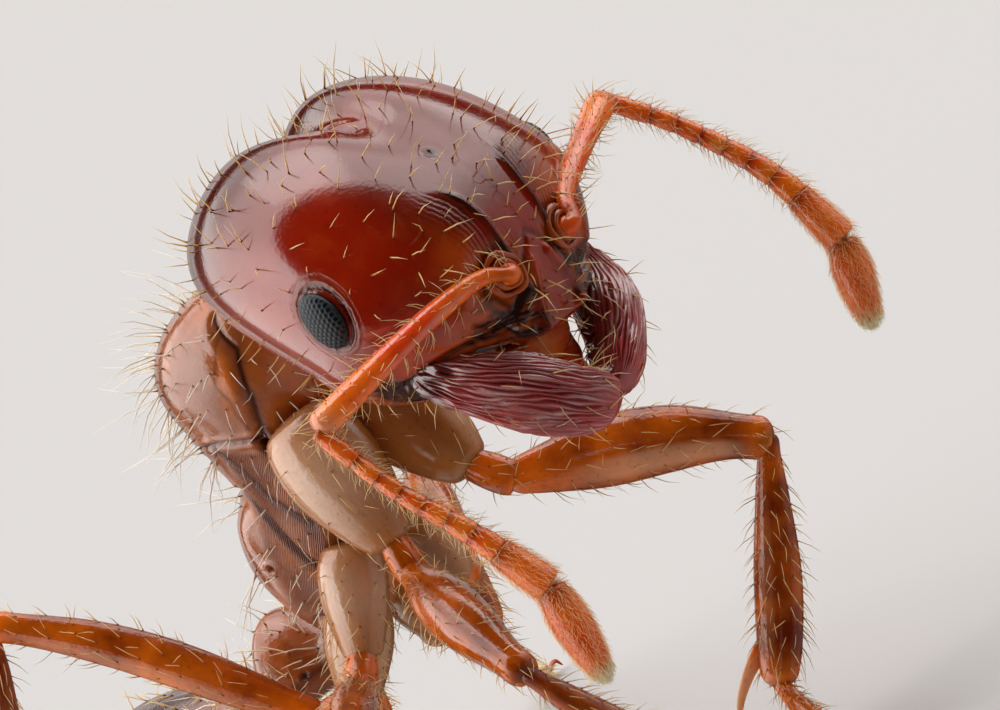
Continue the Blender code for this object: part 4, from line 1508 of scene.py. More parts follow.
# ---- trunk ----
@dataclass
class Trunk:
    """Trunk as one sculpted skin: collar, back plates, sutures, fine side ridges, and its neck."""

    upper: Line = (
        (-1.15, 0.00), (-0.98, 0.25), (-0.70, 0.475), (-0.40, 0.475), (-0.18, 0.375), (0.05, 0.465),
        (0.45, 0.60), (0.80, 0.50), (1.02, 0.22), (1.12, -0.06))
    lower: Line = (
        (-1.15, -0.14), (-0.90, -0.33), (-0.40, -0.40), (0.30, -0.36), (0.80, -0.33), (1.12, -0.24))
    half_width: Line = (
        (-1.15, 0.14), (-0.90, 0.28), (-0.50, 0.35), (-0.18, 0.35), (0.20, 0.44), (0.60, 0.55),
        (0.90, 0.44), (1.12, 0.17))
    collar: Line = ((0.10, 0.60), (0.15, 0.42), (0.26, 0.12), (0.29, -0.17))
    waist: Line = ((-0.19, 0.50), (-0.17, 0.33), (-0.09, 0.18), (-0.28, 0.03), (-0.46, -0.09),
                   (-0.60, -0.21), (-0.71, -0.27))
    skirt: Line = ((0.98, -0.06), (0.82, -0.19), (0.53, -0.21), (0.29, -0.18), (0.19, -0.17))
    hip: Line = ((0.24, -0.16), (0.18, -0.21), (-0.09, -0.26), (-0.34, -0.34), (-0.6, -0.36))
    split: Line = ((0.22, 0.16), (0.05, 0.04), (-0.10, -0.02), (-0.30, -0.22))
    rear_seam: Line = ((-0.66, -0.24), (-0.85, -0.16), (-1.02, -0.15))
    box: float = 2.3                 # squareness of the section
    rows: int = 330
    columns: int = 280

    def hull(self) -> Array:
        """Smooth hull: a rounded section between the upper and lower outlines at each place along.

        Returns:
            Points in the trunk's frame, closer together at its ends.
        """
        x = (-1.149 + 2.268 * (0.35 * np.linspace(0, 1, self.rows) + 0.65 * eased(self.rows)))[:, None]
        turn = angles(self.columns)[None, :]
        top, under = profile(self.upper, x), profile(self.lower, x)
        c, s = (np.sign(v) * np.abs(v) ** (2 / self.box) for v in (np.cos(turn), np.sin(turn)))
        z = (top + under) / 2 + (top - under) / 2 * s
        return np.stack([np.broadcast_to(x, z.shape), profile(self.half_width, x) * c, z], axis=-1)

    def relief(self, p: Array) -> tuple[Array, dict[str, Array]]:
        """Sculpture over the hull, drawn with bells of the distances from its seams, pits and swellings.

        Args:
            p: places in the trunk's frame.

        Returns:
            Height over the hull in millimetres, and the tags.
        """
        x, y, z = np.moveaxis(p, -1, 0)
        side = np.abs(y)
        flank = step(0.10, 0.22, side)
        collar, waist, skirt, hip, split, rear_seam = (
            line_distance(x, z, line)
            for line in (self.collar, self.waist, self.skirt, self.hip, self.split, self.rear_seam))
        spiracle = np.hypot(x + 0.57, z - 0.14)
        bulla = np.hypot(x + 0.98, z + 0.05)
        gland = np.hypot((x + 0.84) / 1.8, z + 0.17)
        below = 1 - step(-0.24, -0.19, z)
        lobe = bell(x + 0.42, 0.16) * bell(z - 0.27, 0.10) * flank
        ridge = (step(-0.27, -0.22, z) * (1 - step(0.06, 0.20, z)) * (1 - step(0.17, 0.24, x)) * flank
                 + 0.7 * (1 - step(-1.0, -0.8, x)) * step(-0.15, 0.0, z))
        ridge = held(ridge) * (1 - bell(spiracle, 0.05)) * (1 - bell(bulla, 0.08))
        height = (-0.020 * bell(collar, 0.011) + 0.008 * bell(collar - 0.035, 0.02)
                  - 0.026 * bell(waist, 0.019) - 0.045 * bell(hip, 0.026) - 0.008 * below * step(0.2, 0.3, x)
                  + 0.022 * lobe - 0.012 * bell(side, 0.02) * step(0.2, 0.4, z) * (1 - step(-0.3, -0.2, x))
                  + flank * (0.006 * bell(skirt - 0.06, 0.03) - 0.014 * bell(skirt, 0.020)
                             - 0.010 * bell(split, 0.014) - 0.018 * bell(rear_seam, 0.014)
                             - 0.030 * bell(spiracle, 0.017) + 0.016 * bell(spiracle - 0.034, 0.012)
                             + 0.030 * bell(bulla, 0.060) - 0.014 * bell(bulla - 0.085, 0.015)
                             + 0.016 * bell(gland, 0.05)))
        amber = np.hypot((x - 0.64) / 0.30, (z + 0.12) / 0.085)
        flesh = np.hypot((x + 0.05) / 0.35, (z + 0.14) / 0.10)
        glow = (flank * (0.95 * bell(amber, 0.9) + 0.5 * bell(flesh, 1.0) + 0.5 * bell(bulla, 0.10))
                + 0.7 * below * step(0.25, 0.35, x) + 0.45 * bell(waist - 0.05, 0.05)
                + 0.25 * (1 - step(-1.0, -0.6, x)))
        vein = bell(z + 0.10 - 0.025 * np.sin(11 * x) - 0.01 * np.sin(31 * x), 0.010)
        shade = (0.40 * step(0.22, 0.40, z) * step(0.15, 0.35, x)
                 + 0.5 * bell(collar, 0.006) + 0.7 * bell(waist, 0.010) + 0.9 * bell(hip, 0.014)
                 + 0.42 * (bell(collar, 0.03) + bell(waist, 0.055) + bell(hip, 0.07))
                 + flank * (0.55 * vein * step(0.30, 0.40, x) * (1 - step(0.80, 0.95, x))
                            + 0.7 * bell(skirt, 0.010) + 0.4 * bell(split, 0.009)
                            + 0.42 * (bell(skirt, 0.05) + bell(split, 0.035) + bell(rear_seam, 0.05))
                            + 0.9 * bell(rear_seam, 0.012) + 1.1 * bell(spiracle, 0.017)
                            + 0.5 * bell(bulla - 0.085, 0.014)))
        # painted sheen: a band of painted reflection along the middle of each flank, towards the front
        painted_sheen = (0.14 * bell(z - 0.07, 0.14) * step(0.2, 0.35, side)
                * step(0.15, 0.35, x) * (1 - step(0.85, 1.0, x)))
        return height, {"glow": held(glow), "shade": held(shade), "ridge": ridge,
                        "painted_sheen": painted_sheen, "lane": 0.34 * x + 0.94 * z}

    def skin(self) -> Surface:
        """Hull with its relief.

        Returns:
            The whole trunk in the ant's frame.
        """
        points = self.hull()
        height, tags = self.relief(points)
        return Surface(points, tags).pushed(height).moved(TRUNK)

    def neck(self) -> Surface:
        """Soft ringed tube from the collar into the back of the head.

        Returns:
            The tube in the ant's frame, slightly raised at its middle.
        """
        start, end = TRUNK.out((0.98, 0.0, -0.14)), HEAD.out((-0.62, 0.0, -0.42))
        share = eased(60)
        path = curve((start, (start + end) / 2 + np.array([0, 0, 0.04]), end), 60)
        rings = np.sin(50 * share)
        girth = 0.17 * caps(share, 0.05, 0.05) * (1 + 0.05 * rings)
        tube = sweep(path, girth, girth * 0.9, (0.1, 0, 1.0), 48)
        tube.tags = {"glow": 0.5, "shade": held(0.3 + 0.3 * rings)}
        return tube

    def build(self, shop: Workshop) -> None:
        """Make the skin, the neck and the hairs.

        Args:
            shop: where pieces are made.
        """
        nodes = ["pronotum", "mesothorax", "propodeum"]
        skin = self.skin()
        shop.body("trunk_skin", [skin], Finish.TRUNK, "cuticle", nodes)
        shop.body("neck", [self.neck()], Finish.SOFT, "cuticle", ["pronotum"])
        x, _, z = np.moveaxis(TRUNK.local(skin.points), -1, 0)
        coat = Coat(shop.rng)
        back = step(0.12, 0.3, z) * step(-0.95, -0.8, x)
        heading = TRUNK.turn((-1.0, 0.0, 0.35))
        coat.grow(skin.scatter(170, SEED + 11, back * (0.35 + step(-0.2, 0.2, x))),
                  Bristle(0.22, 0.42, 0.0046, 20, 12, 0.35), heading)
        coat.grow(skin.scatter(130, SEED + 12, step(-0.28, -0.1, z) * (1 - back)),
                  Bristle(0.10, 0.18, 0.0040, 30, 14, 0.3), heading)
        coat.grow(skin.scatter(60, SEED + 13, 1 - step(-0.35, -0.2, z)),
                  Bristle(0.10, 0.18, 0.0046, 30, 14, 0.3), heading)
        coat.build(shop, "trunk_hairs", Finish.PALE, "cuticle", nodes)


@dataclass
class Waist:
    """The two small joints between trunk and gaster."""

    petiole: Table = (               # behind the root, half width, top, underside
        (0.0, 0.115, 0.10, 0.115), (0.22, 0.145, 0.13, 0.125), (0.38, 0.27, 0.325, 0.135),
        (0.52, 0.32, 0.405, 0.145), (0.64, 0.28, 0.315, 0.145), (0.80, 0.155, 0.12, 0.115))
    postpetiole: Table = (
        (0.0, 0.135, 0.09, 0.10), (0.08, 0.235, 0.205, 0.165), (0.20, 0.345, 0.275, 0.205),
        (0.32, 0.335, 0.235, 0.185), (0.42, 0.22, 0.14, 0.135))

    def knot(self, rings: Sequence[tuple[float, ...]], axes: Axes) -> Surface:
        """One joint: smooth outlines for its width, top and underside, closed at both ends.

        Args:
            rings: distance behind the root, half width, top and underside at a few places.
            axes: the joint's frame.

        Returns:
            The joint with a breathing pore on each side, in the ant's frame.
        """
        rows = np.array(rings)
        share = eased(120)
        back = rows[0, 0] - 0.05 + (rows[-1, 0] - rows[0, 0] + 0.10) * share
        wide, top, under = (profile(rows[:, [0, k]], back)[:, None] for k in (1, 2, 3))
        closing = caps(share, 0.06, 0.06)[:, None]
        turn = angles(110)[None, :]
        height = np.where(np.sin(turn) > 0, top, under) * np.sin(turn) * closing
        side = wide * closing * np.cos(turn)
        x = np.broadcast_to(-back[:, None], side.shape)
        pore = np.hypot(-x - rows[2, 0] + 0.06, height - 0.02) + 1e3 * (np.abs(side) < 0.05)
        ends = (1 - step(0.0, 0.10, share) * (1 - step(0.90, 1.0, share)))[:, None]
        low = 1 - step(-0.02, 0.12, height)
        shade = 0.28 + 0.8 * ends + bell(pore, 0.014) + 0.3 * bell(height, 0.02)
        tags = {"glow": 0.25 + 0.4 * low, "shade": held(shade), "ridge": 0.6 * low,
                "lane": height + 0.2 * x}
        relief = 0.008 * bell(pore - 0.028, 0.01) - 0.016 * bell(pore, 0.014)
        return Surface(np.stack([x, side, height], axis=-1), tags).pushed(relief).moved(axes)

    def build(self, shop: Workshop) -> None:
        """Make both joints and their hairs.

        Args:
            shop: where pieces are made.
        """
        for name, rings, axes, count in (("petiole", self.petiole, PETIOLE, 46),
                                         ("postpetiole", self.postpetiole, POSTPETIOLE, 56)):
            knot = self.knot(rings, axes)
            shop.body(name + "_skin", [knot], Finish.TRUNK, "cuticle", [name])
            coat = Coat(shop.rng)
            up = (knot.normals()[..., 2] > 0.1) * 1.0
            coat.grow(knot.scatter(count, SEED + 15, up), Bristle(0.16, 0.28, 0.0054, 25, 12, 0.35),
                      axes.turn((-1.0, 0, 0.3)))
            coat.grow(knot.scatter(count, SEED + 16, 1.0), Bristle(0.07, 0.13, 0.0044, 35, 12, 0.3),
                      axes.turn((-1.0, 0, 0.0)))
            coat.build(shop, name + "_hairs", Finish.PALE, "cuticle", [name])


@dataclass
class Gaster:
    """Egg of four overlapping plates above and below, with the sting's tip."""

    length: float = 2.15
    half_width: float = 0.735
    half_height: float = 0.615
    cuts: tuple[float, ...] = (0.0, 0.30, 0.58, 0.80, 1.0)
    hairs: tuple[int, ...] = (150, 150, 110, 80)
    fringe: tuple[int, ...] = (0, 60, 50, 30)
    rows: int = 110
    columns: int = 170

    def plate(self, first: float, last: float) -> Surface:
        """One segment: tucked in under the one before, flared to a thin rolled edge at its rear.

        The egg's half thickness is a power of a half sine wave of the share along it; a ledge at the side
        parts the upper plate from the lower.

        Args:
            first: share of the gaster where the segment shows first.
            last: share where it ends.

        Returns:
            The segment in the ant's frame.
        """
        tucked = first - 0.045 if first else 0.0
        u = eased(self.rows)
        share = np.clip(tucked + (last - tucked) * u, 0.004, 0.9995)[:, None]
        seat = (1 - step(first - 0.01, first + 0.02, share)) if first else np.zeros_like(share)
        rolled = 0.012 * bell(share - last + 0.01, 0.02) if last < 1.0 else 0.0
        closing = caps(u, 0.02, 0.012)[:, None]
        girth = np.sin(np.pi * share ** 0.72) ** 0.62 * (1 - 0.055 * seat) * (1 + rolled)
        turn = angles(self.columns)[None, :]
        aside, above = np.cos(turn), np.sin(turn)
        ledge = 0.014 * step(-0.62, -0.52, above)
        y = (self.half_width * girth + ledge) * closing * aside
        z = (self.half_height * girth + ledge) * closing * np.where(above > 0, 1.0, 0.95) * above
        band = step(last - 0.035, last - 0.008, share) if last < 1.0 else np.zeros_like(share)
        front = np.zeros_like(share) if first else 1 - step(0.0, 0.16, share)
        glow = (0.85 * band + 0.7 * front + 0.4 * step(0.90, 0.99, share)
                + 0.25 * (1 - step(-0.62, -0.5, above)))
        shade = 0.8 * seat + 0.7 * bell(above + 0.57, 0.025)
        points = np.stack([np.broadcast_to(-self.length * share, z.shape), y, z - 0.04 * share], axis=-1)
        return Surface(points, {"glow": held(glow), "shade": held(shade), "ridge": 0.22,
                                "lane": 2 * share}).moved(GASTER)

    def sting(self) -> Surface:
        """Fine cone at the tail, in the ant's frame.

        Returns:
            A closed cone.
        """
        share = eased(30)
        path = np.outer(share, np.array([-0.11, 0, -0.02])) + np.array([-self.length * 0.975, 0.0, -0.04])
        girth = 0.045 * (1 - share) ** 0.8 * caps(share, 0.1, 0.05) + 0.002
        tube = sweep(path, girth, girth, (0.0, 0.1, 1.0), 24)
        tube.tags = {"glow": 0.8, "shade": 0.4 * share}
        return tube.moved(GASTER)

    def build(self, shop: Workshop) -> None:
        """Make the plates, each with its hairs and a fringe at its rear, and the sting on the last.

        Args:
            shop: where pieces are made.
        """
        rear = GASTER.turn((-1.0, 0.0, 0.15))
        share = eased(self.rows)[:, None]
        for k, (first, last) in enumerate(zip(self.cuts, self.cuts[1:])):
            number = str(k + 1)
            plate = self.plate(first, last)
            bodies = [plate] if last < 1.0 else [plate, self.sting()]
            shop.body("gaster_plate_" + number, bodies, Finish.GASTER, "gaster", ["gaster_" + number])
            coat = Coat(shop.rng)
            open_part = step(0.16, 0.24, share) if k else step(0.06, 0.12, share)
            coat.grow(plate.scatter(self.hairs[k], SEED + 20 + k, open_part),
                      Bristle(0.13, 0.24, 0.0050, 48, 10, 0.3), rear)
            edge = step(0.88, 0.93, share) * (1 - step(0.95, 0.99, share))
            coat.grow(plate.scatter(self.fringe[k], SEED + 24 + k, edge),
                      Bristle(0.20, 0.30, 0.0054, 45, 8, 0.25), rear)
            coat.build(shop, "gaster_hairs_" + number, Finish.GOLD, "gaster", ["gaster_" + number])


# ---- legs ----
class Pair(Enum):
    """The three pairs of legs, from the front."""

    FORE = "fore"
    MID = "mid"
    HIND = "hind"


LEG_LENGTHS = {               # coxa, trochanter, femur, tibia, tarsus
    Pair.FORE: (0.80, 0.24, 1.40, 1.29, 1.05),
    Pair.MID: (0.55, 0.22, 1.55, 1.25, 1.20),
    Pair.HIND: (0.50, 0.22, 1.92, 1.50, 1.45),
}
LEGS = (     # root in the trunk's frame, azimuth and elevation of each length, azimuth of the foot
    (Pair.FORE, Side.LEFT, (0.30, 0.26, -0.30), (0, -54), (25, -45), (42, -20), (-109, -61), -32),
    (Pair.FORE, Side.RIGHT, (0.30, 0.26, -0.30), (10, -70), (35, -62), (31, -19), (-76, -59), 15),
    (Pair.MID, Side.LEFT, (-0.50, 0.22, -0.34), (104, -66), (125, -25), (135, 15), (146, -68), 130),
    (Pair.MID, Side.RIGHT, (-0.50, 0.22, -0.34), (104, -66), (75, -35), (52, -2), (95, -72), 75),
    (Pair.HIND, Side.LEFT, (-0.86, 0.20, -0.26), (128, -62), (150, -10), (150, 41), (150, -72), 150),
    (Pair.HIND, Side.RIGHT, (-0.86, 0.20, -0.26), (128, -62), (150, -10), (151, 41), (148, -72), 150),
)
REAR_COXA = ((0, 0.13), (0.2, 0.185), (0.5, 0.185), (0.85, 0.13), (1, 0.095))
REAR_TROCHANTER = ((0, 0.065), (0.4, 0.098), (0.8, 0.102), (1, 0.082))
OUTLINES: dict[str, dict[Pair, Line]] = {         # half thickness along each length
    "coxa": {Pair.FORE: ((0, 0.17), (0.15, 0.25), (0.45, 0.275), (0.8, 0.20), (1, 0.115)),
             Pair.MID: REAR_COXA, Pair.HIND: REAR_COXA},
    "trochanter": {Pair.FORE: ((0, 0.070), (0.4, 0.098), (0.8, 0.102), (1, 0.085)),
                   Pair.MID: REAR_TROCHANTER, Pair.HIND: REAR_TROCHANTER},
    "femur": {
        Pair.FORE: ((0, 0.080), (0.12, 0.122), (0.38, 0.192), (0.62, 0.182), (0.86, 0.125), (1, 0.120)),
        Pair.MID: ((0, 0.075), (0.12, 0.110), (0.38, 0.152), (0.62, 0.145), (0.88, 0.100), (1, 0.105)),
        Pair.HIND: ((0, 0.070), (0.12, 0.095), (0.40, 0.128), (0.65, 0.120), (0.90, 0.088), (1, 0.095))},
    "tibia": {
        Pair.FORE: ((0, 0.080), (0.06, 0.062), (0.22, 0.088), (0.55, 0.130), (0.85, 0.122), (1, 0.092)),
        Pair.MID: ((0, 0.075), (0.06, 0.062), (0.20, 0.085), (0.50, 0.100), (0.88, 0.105), (1, 0.085)),
        Pair.HIND: ((0, 0.070), (0.06, 0.058), (0.20, 0.080), (0.50, 0.095), (0.88, 0.098), (1, 0.078))},
}


@dataclass(frozen=True)
class Cut:
    """How one length of a leg is drawn, in millimetres and shares."""

    hairs: int
    bristle: Bristle
    knob: float                      # reach of the hinge lobes at its far end
    pale: float                      # clear amber at its middle
    flat: float = 0.9                # thickness across, as a share of its depth
    bow: float = 0.0                 # how far its middle bends outwards
    inward: float = 0.05             # how far it runs into the next length
    joint: float = 0.2               # clear amber at its root


CUTS = {
    "coxa": Cut(44, Bristle(0.08, 0.15, 0.0034, 40, 12, 0.3), 0.07, 0.35, flat=1.0),
    "trochanter": Cut(24, Bristle(0.07, 0.13, 0.0034, 40, 12, 0.3), 0.05, 0.9),
    "femur": Cut(130, Bristle(0.08, 0.15, 0.0034, 45, 12, 0.3), 0.075, 0.55, 0.82, 0.085, 0.035, 0.55),
    "tibia": Cut(170, Bristle(0.09, 0.16, 0.0034, 42, 10, 0.25), 0.06, 0.40, 0.85, 0.02, 0.04),
}
TARSUS_CUTS = (0.0, 0.50, 0.665, 0.785, 0.88, 1.0)
TARSUS_TAPER = (1.0, 0.80, 0.74, 0.70, 0.72)
TARSUS_HAIRS = (120, 46, 36, 30, 30)
TARSUS_GIRTHS = {Pair.FORE: 0.074, Pair.MID: 0.050, Pair.HIND: 0.050}
PAINTED_SHEEN_LOW = {                                         # painted sheen, a painted reflection, low on the femur and the tibia
    "femur": {Pair.FORE: 0.50, Pair.MID: 0.62, Pair.HIND: 0.18},
    "tibia": {Pair.FORE: 0.12, Pair.MID: 0.12, Pair.HIND: 0.12},
}
DOWN = np.array([0.0, 0.0, -1.0])


@dataclass
class Leg:
    """One leg: coxa, trochanter, femur, tibia, five-jointed tarsus with claws, spurs and hairs."""

    pair: Pair
    side: Side
    root: Point
    aims: tuple[tuple[float, float], ...]             # azimuth and elevation of each length
    heading: float                                    # azimuth of the foot
    rows: int = 90
    columns: int = 64

    def __post_init__(self) -> None:
        """Work out the joints."""
        self.sign = self.side.sign
        lengths = LEG_LENGTHS[self.pair]
        start = TRUNK.out(np.array(self.root) * (1, self.sign, 1))
        steps = [direction(self.sign * a, e) * n for (a, e), n in zip(self.aims, lengths)]
        self.joints = np.concatenate([[start], start + np.cumsum(steps, axis=0)])
        self.forward = direction(self.sign * self.heading, 0.0)
        self.tag = "_" + self.pair.value + "_" + self.side.value

    def bend_normal(self) -> Array:
        """Direction across the leg, square to its knee."""
        a, b = self.joints[3] - self.joints[2], self.joints[4] - self.joints[3]
        return unit(np.cross(a, b))

    def length_of(self, name: str, index: int) -> Surface:
        """One straight length, flattened slightly and bowed outwards, with rounded ends.

        Args:
            name: coxa, trochanter, femur or tibia.
            index: its place in the leg.

        Returns:
            An oval tube that runs a little way into its neighbours.
        """
        cut, start, end = CUTS[name], self.joints[index], self.joints[index + 1]
        flat_share = eased(self.rows)
        ahead = unit(end - start)
        out = unit(np.cross(self.bend_normal(), ahead))
        path = (start - ahead * cut.inward + np.outer(flat_share, end - start + 2 * ahead * cut.inward)
                + np.outer(np.sin(np.pi * flat_share ** 1.35) * cut.bow, -out))
        girth = profile(OUTLINES[name][self.pair], flat_share) * caps(flat_share, 0.06, 0.06)
        body = sweep(path, girth * cut.flat, girth, out, self.columns)
        share, turn = flat_share[:, None], angles(self.columns)[None, :]
        middle = np.sin(np.pi * share) ** 0.7
        glow = cut.pale * middle + cut.joint * bell(share - 0.08, 0.10) + 0.55 * bell(share - 0.96, 0.07)
        shade = 0.45 * (bell(share, 0.025) + bell(share - 1, 0.020))
        if name == "coxa":
            outward = (body.points - path[:, None, :]) @ np.array([0.6, 0.8 * self.sign, 0.0])
            facing = outward / (girth[:, None] + 0.01)
            far_end = 0.20 * step(0.55, 1.0, share)
            glow, shade = glow + 3.4 * far_end, shade + far_end
            # painted sheen on the middle of the outward side, and painted shade along the rim of that side
            painted_sheen = 0.74 * bell(share - 0.45, 0.38) * step(0.15, 0.80, facing)
            keel = 0.9 * bell(facing, 0.32)
        else:
            # painted sheen low on each length, and painted shade: dark rims along two opposite edges
            lower = step(0.10, 0.35, np.sin(turn)) * (1 - step(0.70, 0.92, np.sin(turn)))
            sheen_low = PAINTED_SHEEN_LOW[name][self.pair] if name in PAINTED_SHEEN_LOW else 0.0
            painted_sheen = sheen_low * lower * step(0.15, 0.45, share) * (1 - step(0.80, 0.95, share))
            keel = bell(np.cos(turn), 0.42)
        body.tags = {"glow": held(glow), "shade": held(shade + 0.55 * keel * middle),
                     "ridge": 0.05, "painted_sheen": painted_sheen, "lane": 0.12 * turn}
        return body

    def knobs(self, name: str, index: int) -> list[Surface]:
        """Two hinge lobes at the far end of a length.

        Args:
            name: coxa, trochanter, femur or tibia.
            index: its place in the leg.

        Returns:
            Flattened balls on both sides of the joint.
        """
        end, across, reach = self.joints[index + 1], self.bend_normal(), CUTS[name].knob
        ahead = unit(end - self.joints[index])
        made = []
        for sign in (1, -1):
            knob = ball(end + across * reach * sign * 0.72 - ahead * 0.02, reach * 0.60, across, 18, 0.7)
            knob.tags = {"shade": 0.05, "glow": 0.9}
            made.append(knob)
        return made

    def foot_path(self) -> Array:
        """Middle line of the tarsus: down from the shin's end, then along the floor on its sole.

        Returns:
            Points of a parabola through the shin's end, a bend just above the floor, and the tip.
        """
        start = self.joints[4]
        sole = TARSUS_GIRTHS[self.pair] + 0.004
        reach = math.sqrt(max(LEG_LENGTHS[self.pair][4] ** 2 - (start[2] - 0.22) ** 2, 0.2))
        tip = start + self.forward * reach * 0.98
        bend = start + self.forward * reach * 0.24
        tip[2], bend[2] = sole, sole + 0.05
        t = np.linspace(0, 1, 120)[:, None]
        return start * (1 - t) ** 2 + bend * 2 * t * (1 - t) + tip * t * t

    def tarsus(self, path: Array) -> list[Surface]:
        """Five joints, each widening to its far end.

        Args:
            path: middle line of the foot.

        Returns:
            The joints from the shin to the claws.
        """
        made, share = [], eased(30)
        for k, (first, last) in enumerate(zip(TARSUS_CUTS, TARSUS_CUTS[1:])):
            line = walked_to(path, first + (last - first) * 1.02 * share)
            full = TARSUS_GIRTHS[self.pair] * TARSUS_TAPER[k]
            girth = full * (0.62 + 0.38 * step(0.1, 0.9, share)) * caps(share, 0.08, 0.12)
            joint = sweep(line, girth, girth * 0.9, (0.01, 0.02, 1.0), 28)
            joint.tags = {"glow": 0.65 - 0.1 * k,
                          "shade": 0.6 * bell(share, 0.08) + 0.5 * bell(share - 1, 0.06)}
            made.append(joint)
        return made

    def claws(self, path: Array) -> list[Surface]:
        """Two hooked claws and the pad between them.

        Args:
            path: middle line of the foot.

        Returns:
            Left and right claw, and the pad.
        """
        tip, ahead = path[-1], unit(path[-1] - path[-6])
        across = np.cross(-DOWN, ahead)
        share = np.linspace(0, 1, 24)
        girth = 0.017 * (1 - share) ** 0.6 * caps(share, 0.1, 0.02) + 0.0015
        made = []
        for sign in (1, -1):
            route = ((-0.02, 0.015, 0.0), (0.05, 0.06, -0.02), (0.10, 0.085, 0.03))
            knots = [tip + ahead * forth + across * sign * aside + DOWN * drop
                     for forth, aside, drop in route]
            claw = sweep(curve(knots, 24), girth, girth, (0.2, 0.1, 1.0), 14)
            claw.tags = {"shade": 0.2 + 0.5 * share, "glow": 0.8 - 0.5 * share}
            made.append(claw)
        pad = ball(tip + ahead * 0.035 + DOWN * 0.008, 0.026, ahead, 16, 1.3)
        pad.tags = {"glow": 1.0}
        return made + [pad]

    def spurs(self) -> list[Surface]:
        """Curved comb of the fore shin, or two short straight spurs on the others.

        Returns:
            One blade or two spurs at the shin's far end.
        """
        end, shin = self.joints[4], unit(self.joints[4] - self.joints[3])
        inside = unit(np.cross(self.bend_normal(), shin))
        if self.pair is Pair.FORE:
            knots = [end + shin * forth + inside * aside
                     for forth, aside in ((-0.20, 0.07), (-0.06, 0.15), (0.07, 0.20), (0.17, 0.22))]
            share = np.linspace(0, 1, 40)
            girth = 0.038 * (1 - 0.66 * share) * caps(share, 0.1, 0.05)
            blade = sweep(curve(knots, 40), girth * 0.55, girth * 1.25, inside, 28)
            # painted sheen along the comb, towards its tip
            blade.tags = {"glow": 1.0, "shade": 0.25 * bell(share, 0.1), "painted_sheen": 0.75 * step(0.1, 0.5, share)}
            return [blade]
        made, share = [], np.linspace(0, 1, 18)
        girth = 0.013 * (1 - share) ** 0.6 * caps(share, 0.1, 0.02) + 0.001
        for sign in (1, -1):
            base = end + self.bend_normal() * sign * 0.05 - shin * 0.03
            path = base + np.outer(share, (shin + inside * 0.35) * 0.13)
            spur = sweep(path, girth, girth, (0.2, 0.5, 0.4), 12)
            spur.tags = {"glow": 0.9}
            made.append(spur)
        return made

    def build(self, shop: Workshop) -> None:
        """Make every length with its hairs, and the claws.

        Args:
            shop: where pieces are made.
        """
        for index, (name, cut) in enumerate(CUTS.items()):
            bodies = [self.length_of(name, index)] + self.knobs(name, index)
            if name == "tibia":
                bodies += self.spurs()
            finish = Finish.COXA if name == "coxa" else Finish.LIMB
            shop.body(name + "_skin" + self.tag, bodies, finish, "limb", [name + self.tag])
            coat = Coat(shop.rng)
            weight = caps(eased(self.rows), 0.1, 0.05)[:, None]
            coat.grow(bodies[0].scatter(cut.hairs, SEED + index, weight), cut.bristle)
            coat.build(shop, name + "_hairs" + self.tag, Finish.GOLD, "limb", [name + self.tag])
        path, node = self.foot_path(), "tarsus" + self.tag
        joints = self.tarsus(path)
        shop.body("tarsus_skin" + self.tag, joints, Finish.LIMB, "limb", [node])
        shop.body("claws" + self.tag, self.claws(path), Finish.LIMB, "limb", [node])
        coat = Coat(shop.rng, tiles=len(joints))
        for k, (joint, count) in enumerate(zip(joints, TARSUS_HAIRS)):
            coat.grow(joint.scatter(count, SEED + k), Bristle(0.06, 0.11, 0.0032, 45, 10, 0.25), tile=k)
        coat.build(shop, "tarsus_hairs" + self.tag, Finish.GOLD, "limb", [node])


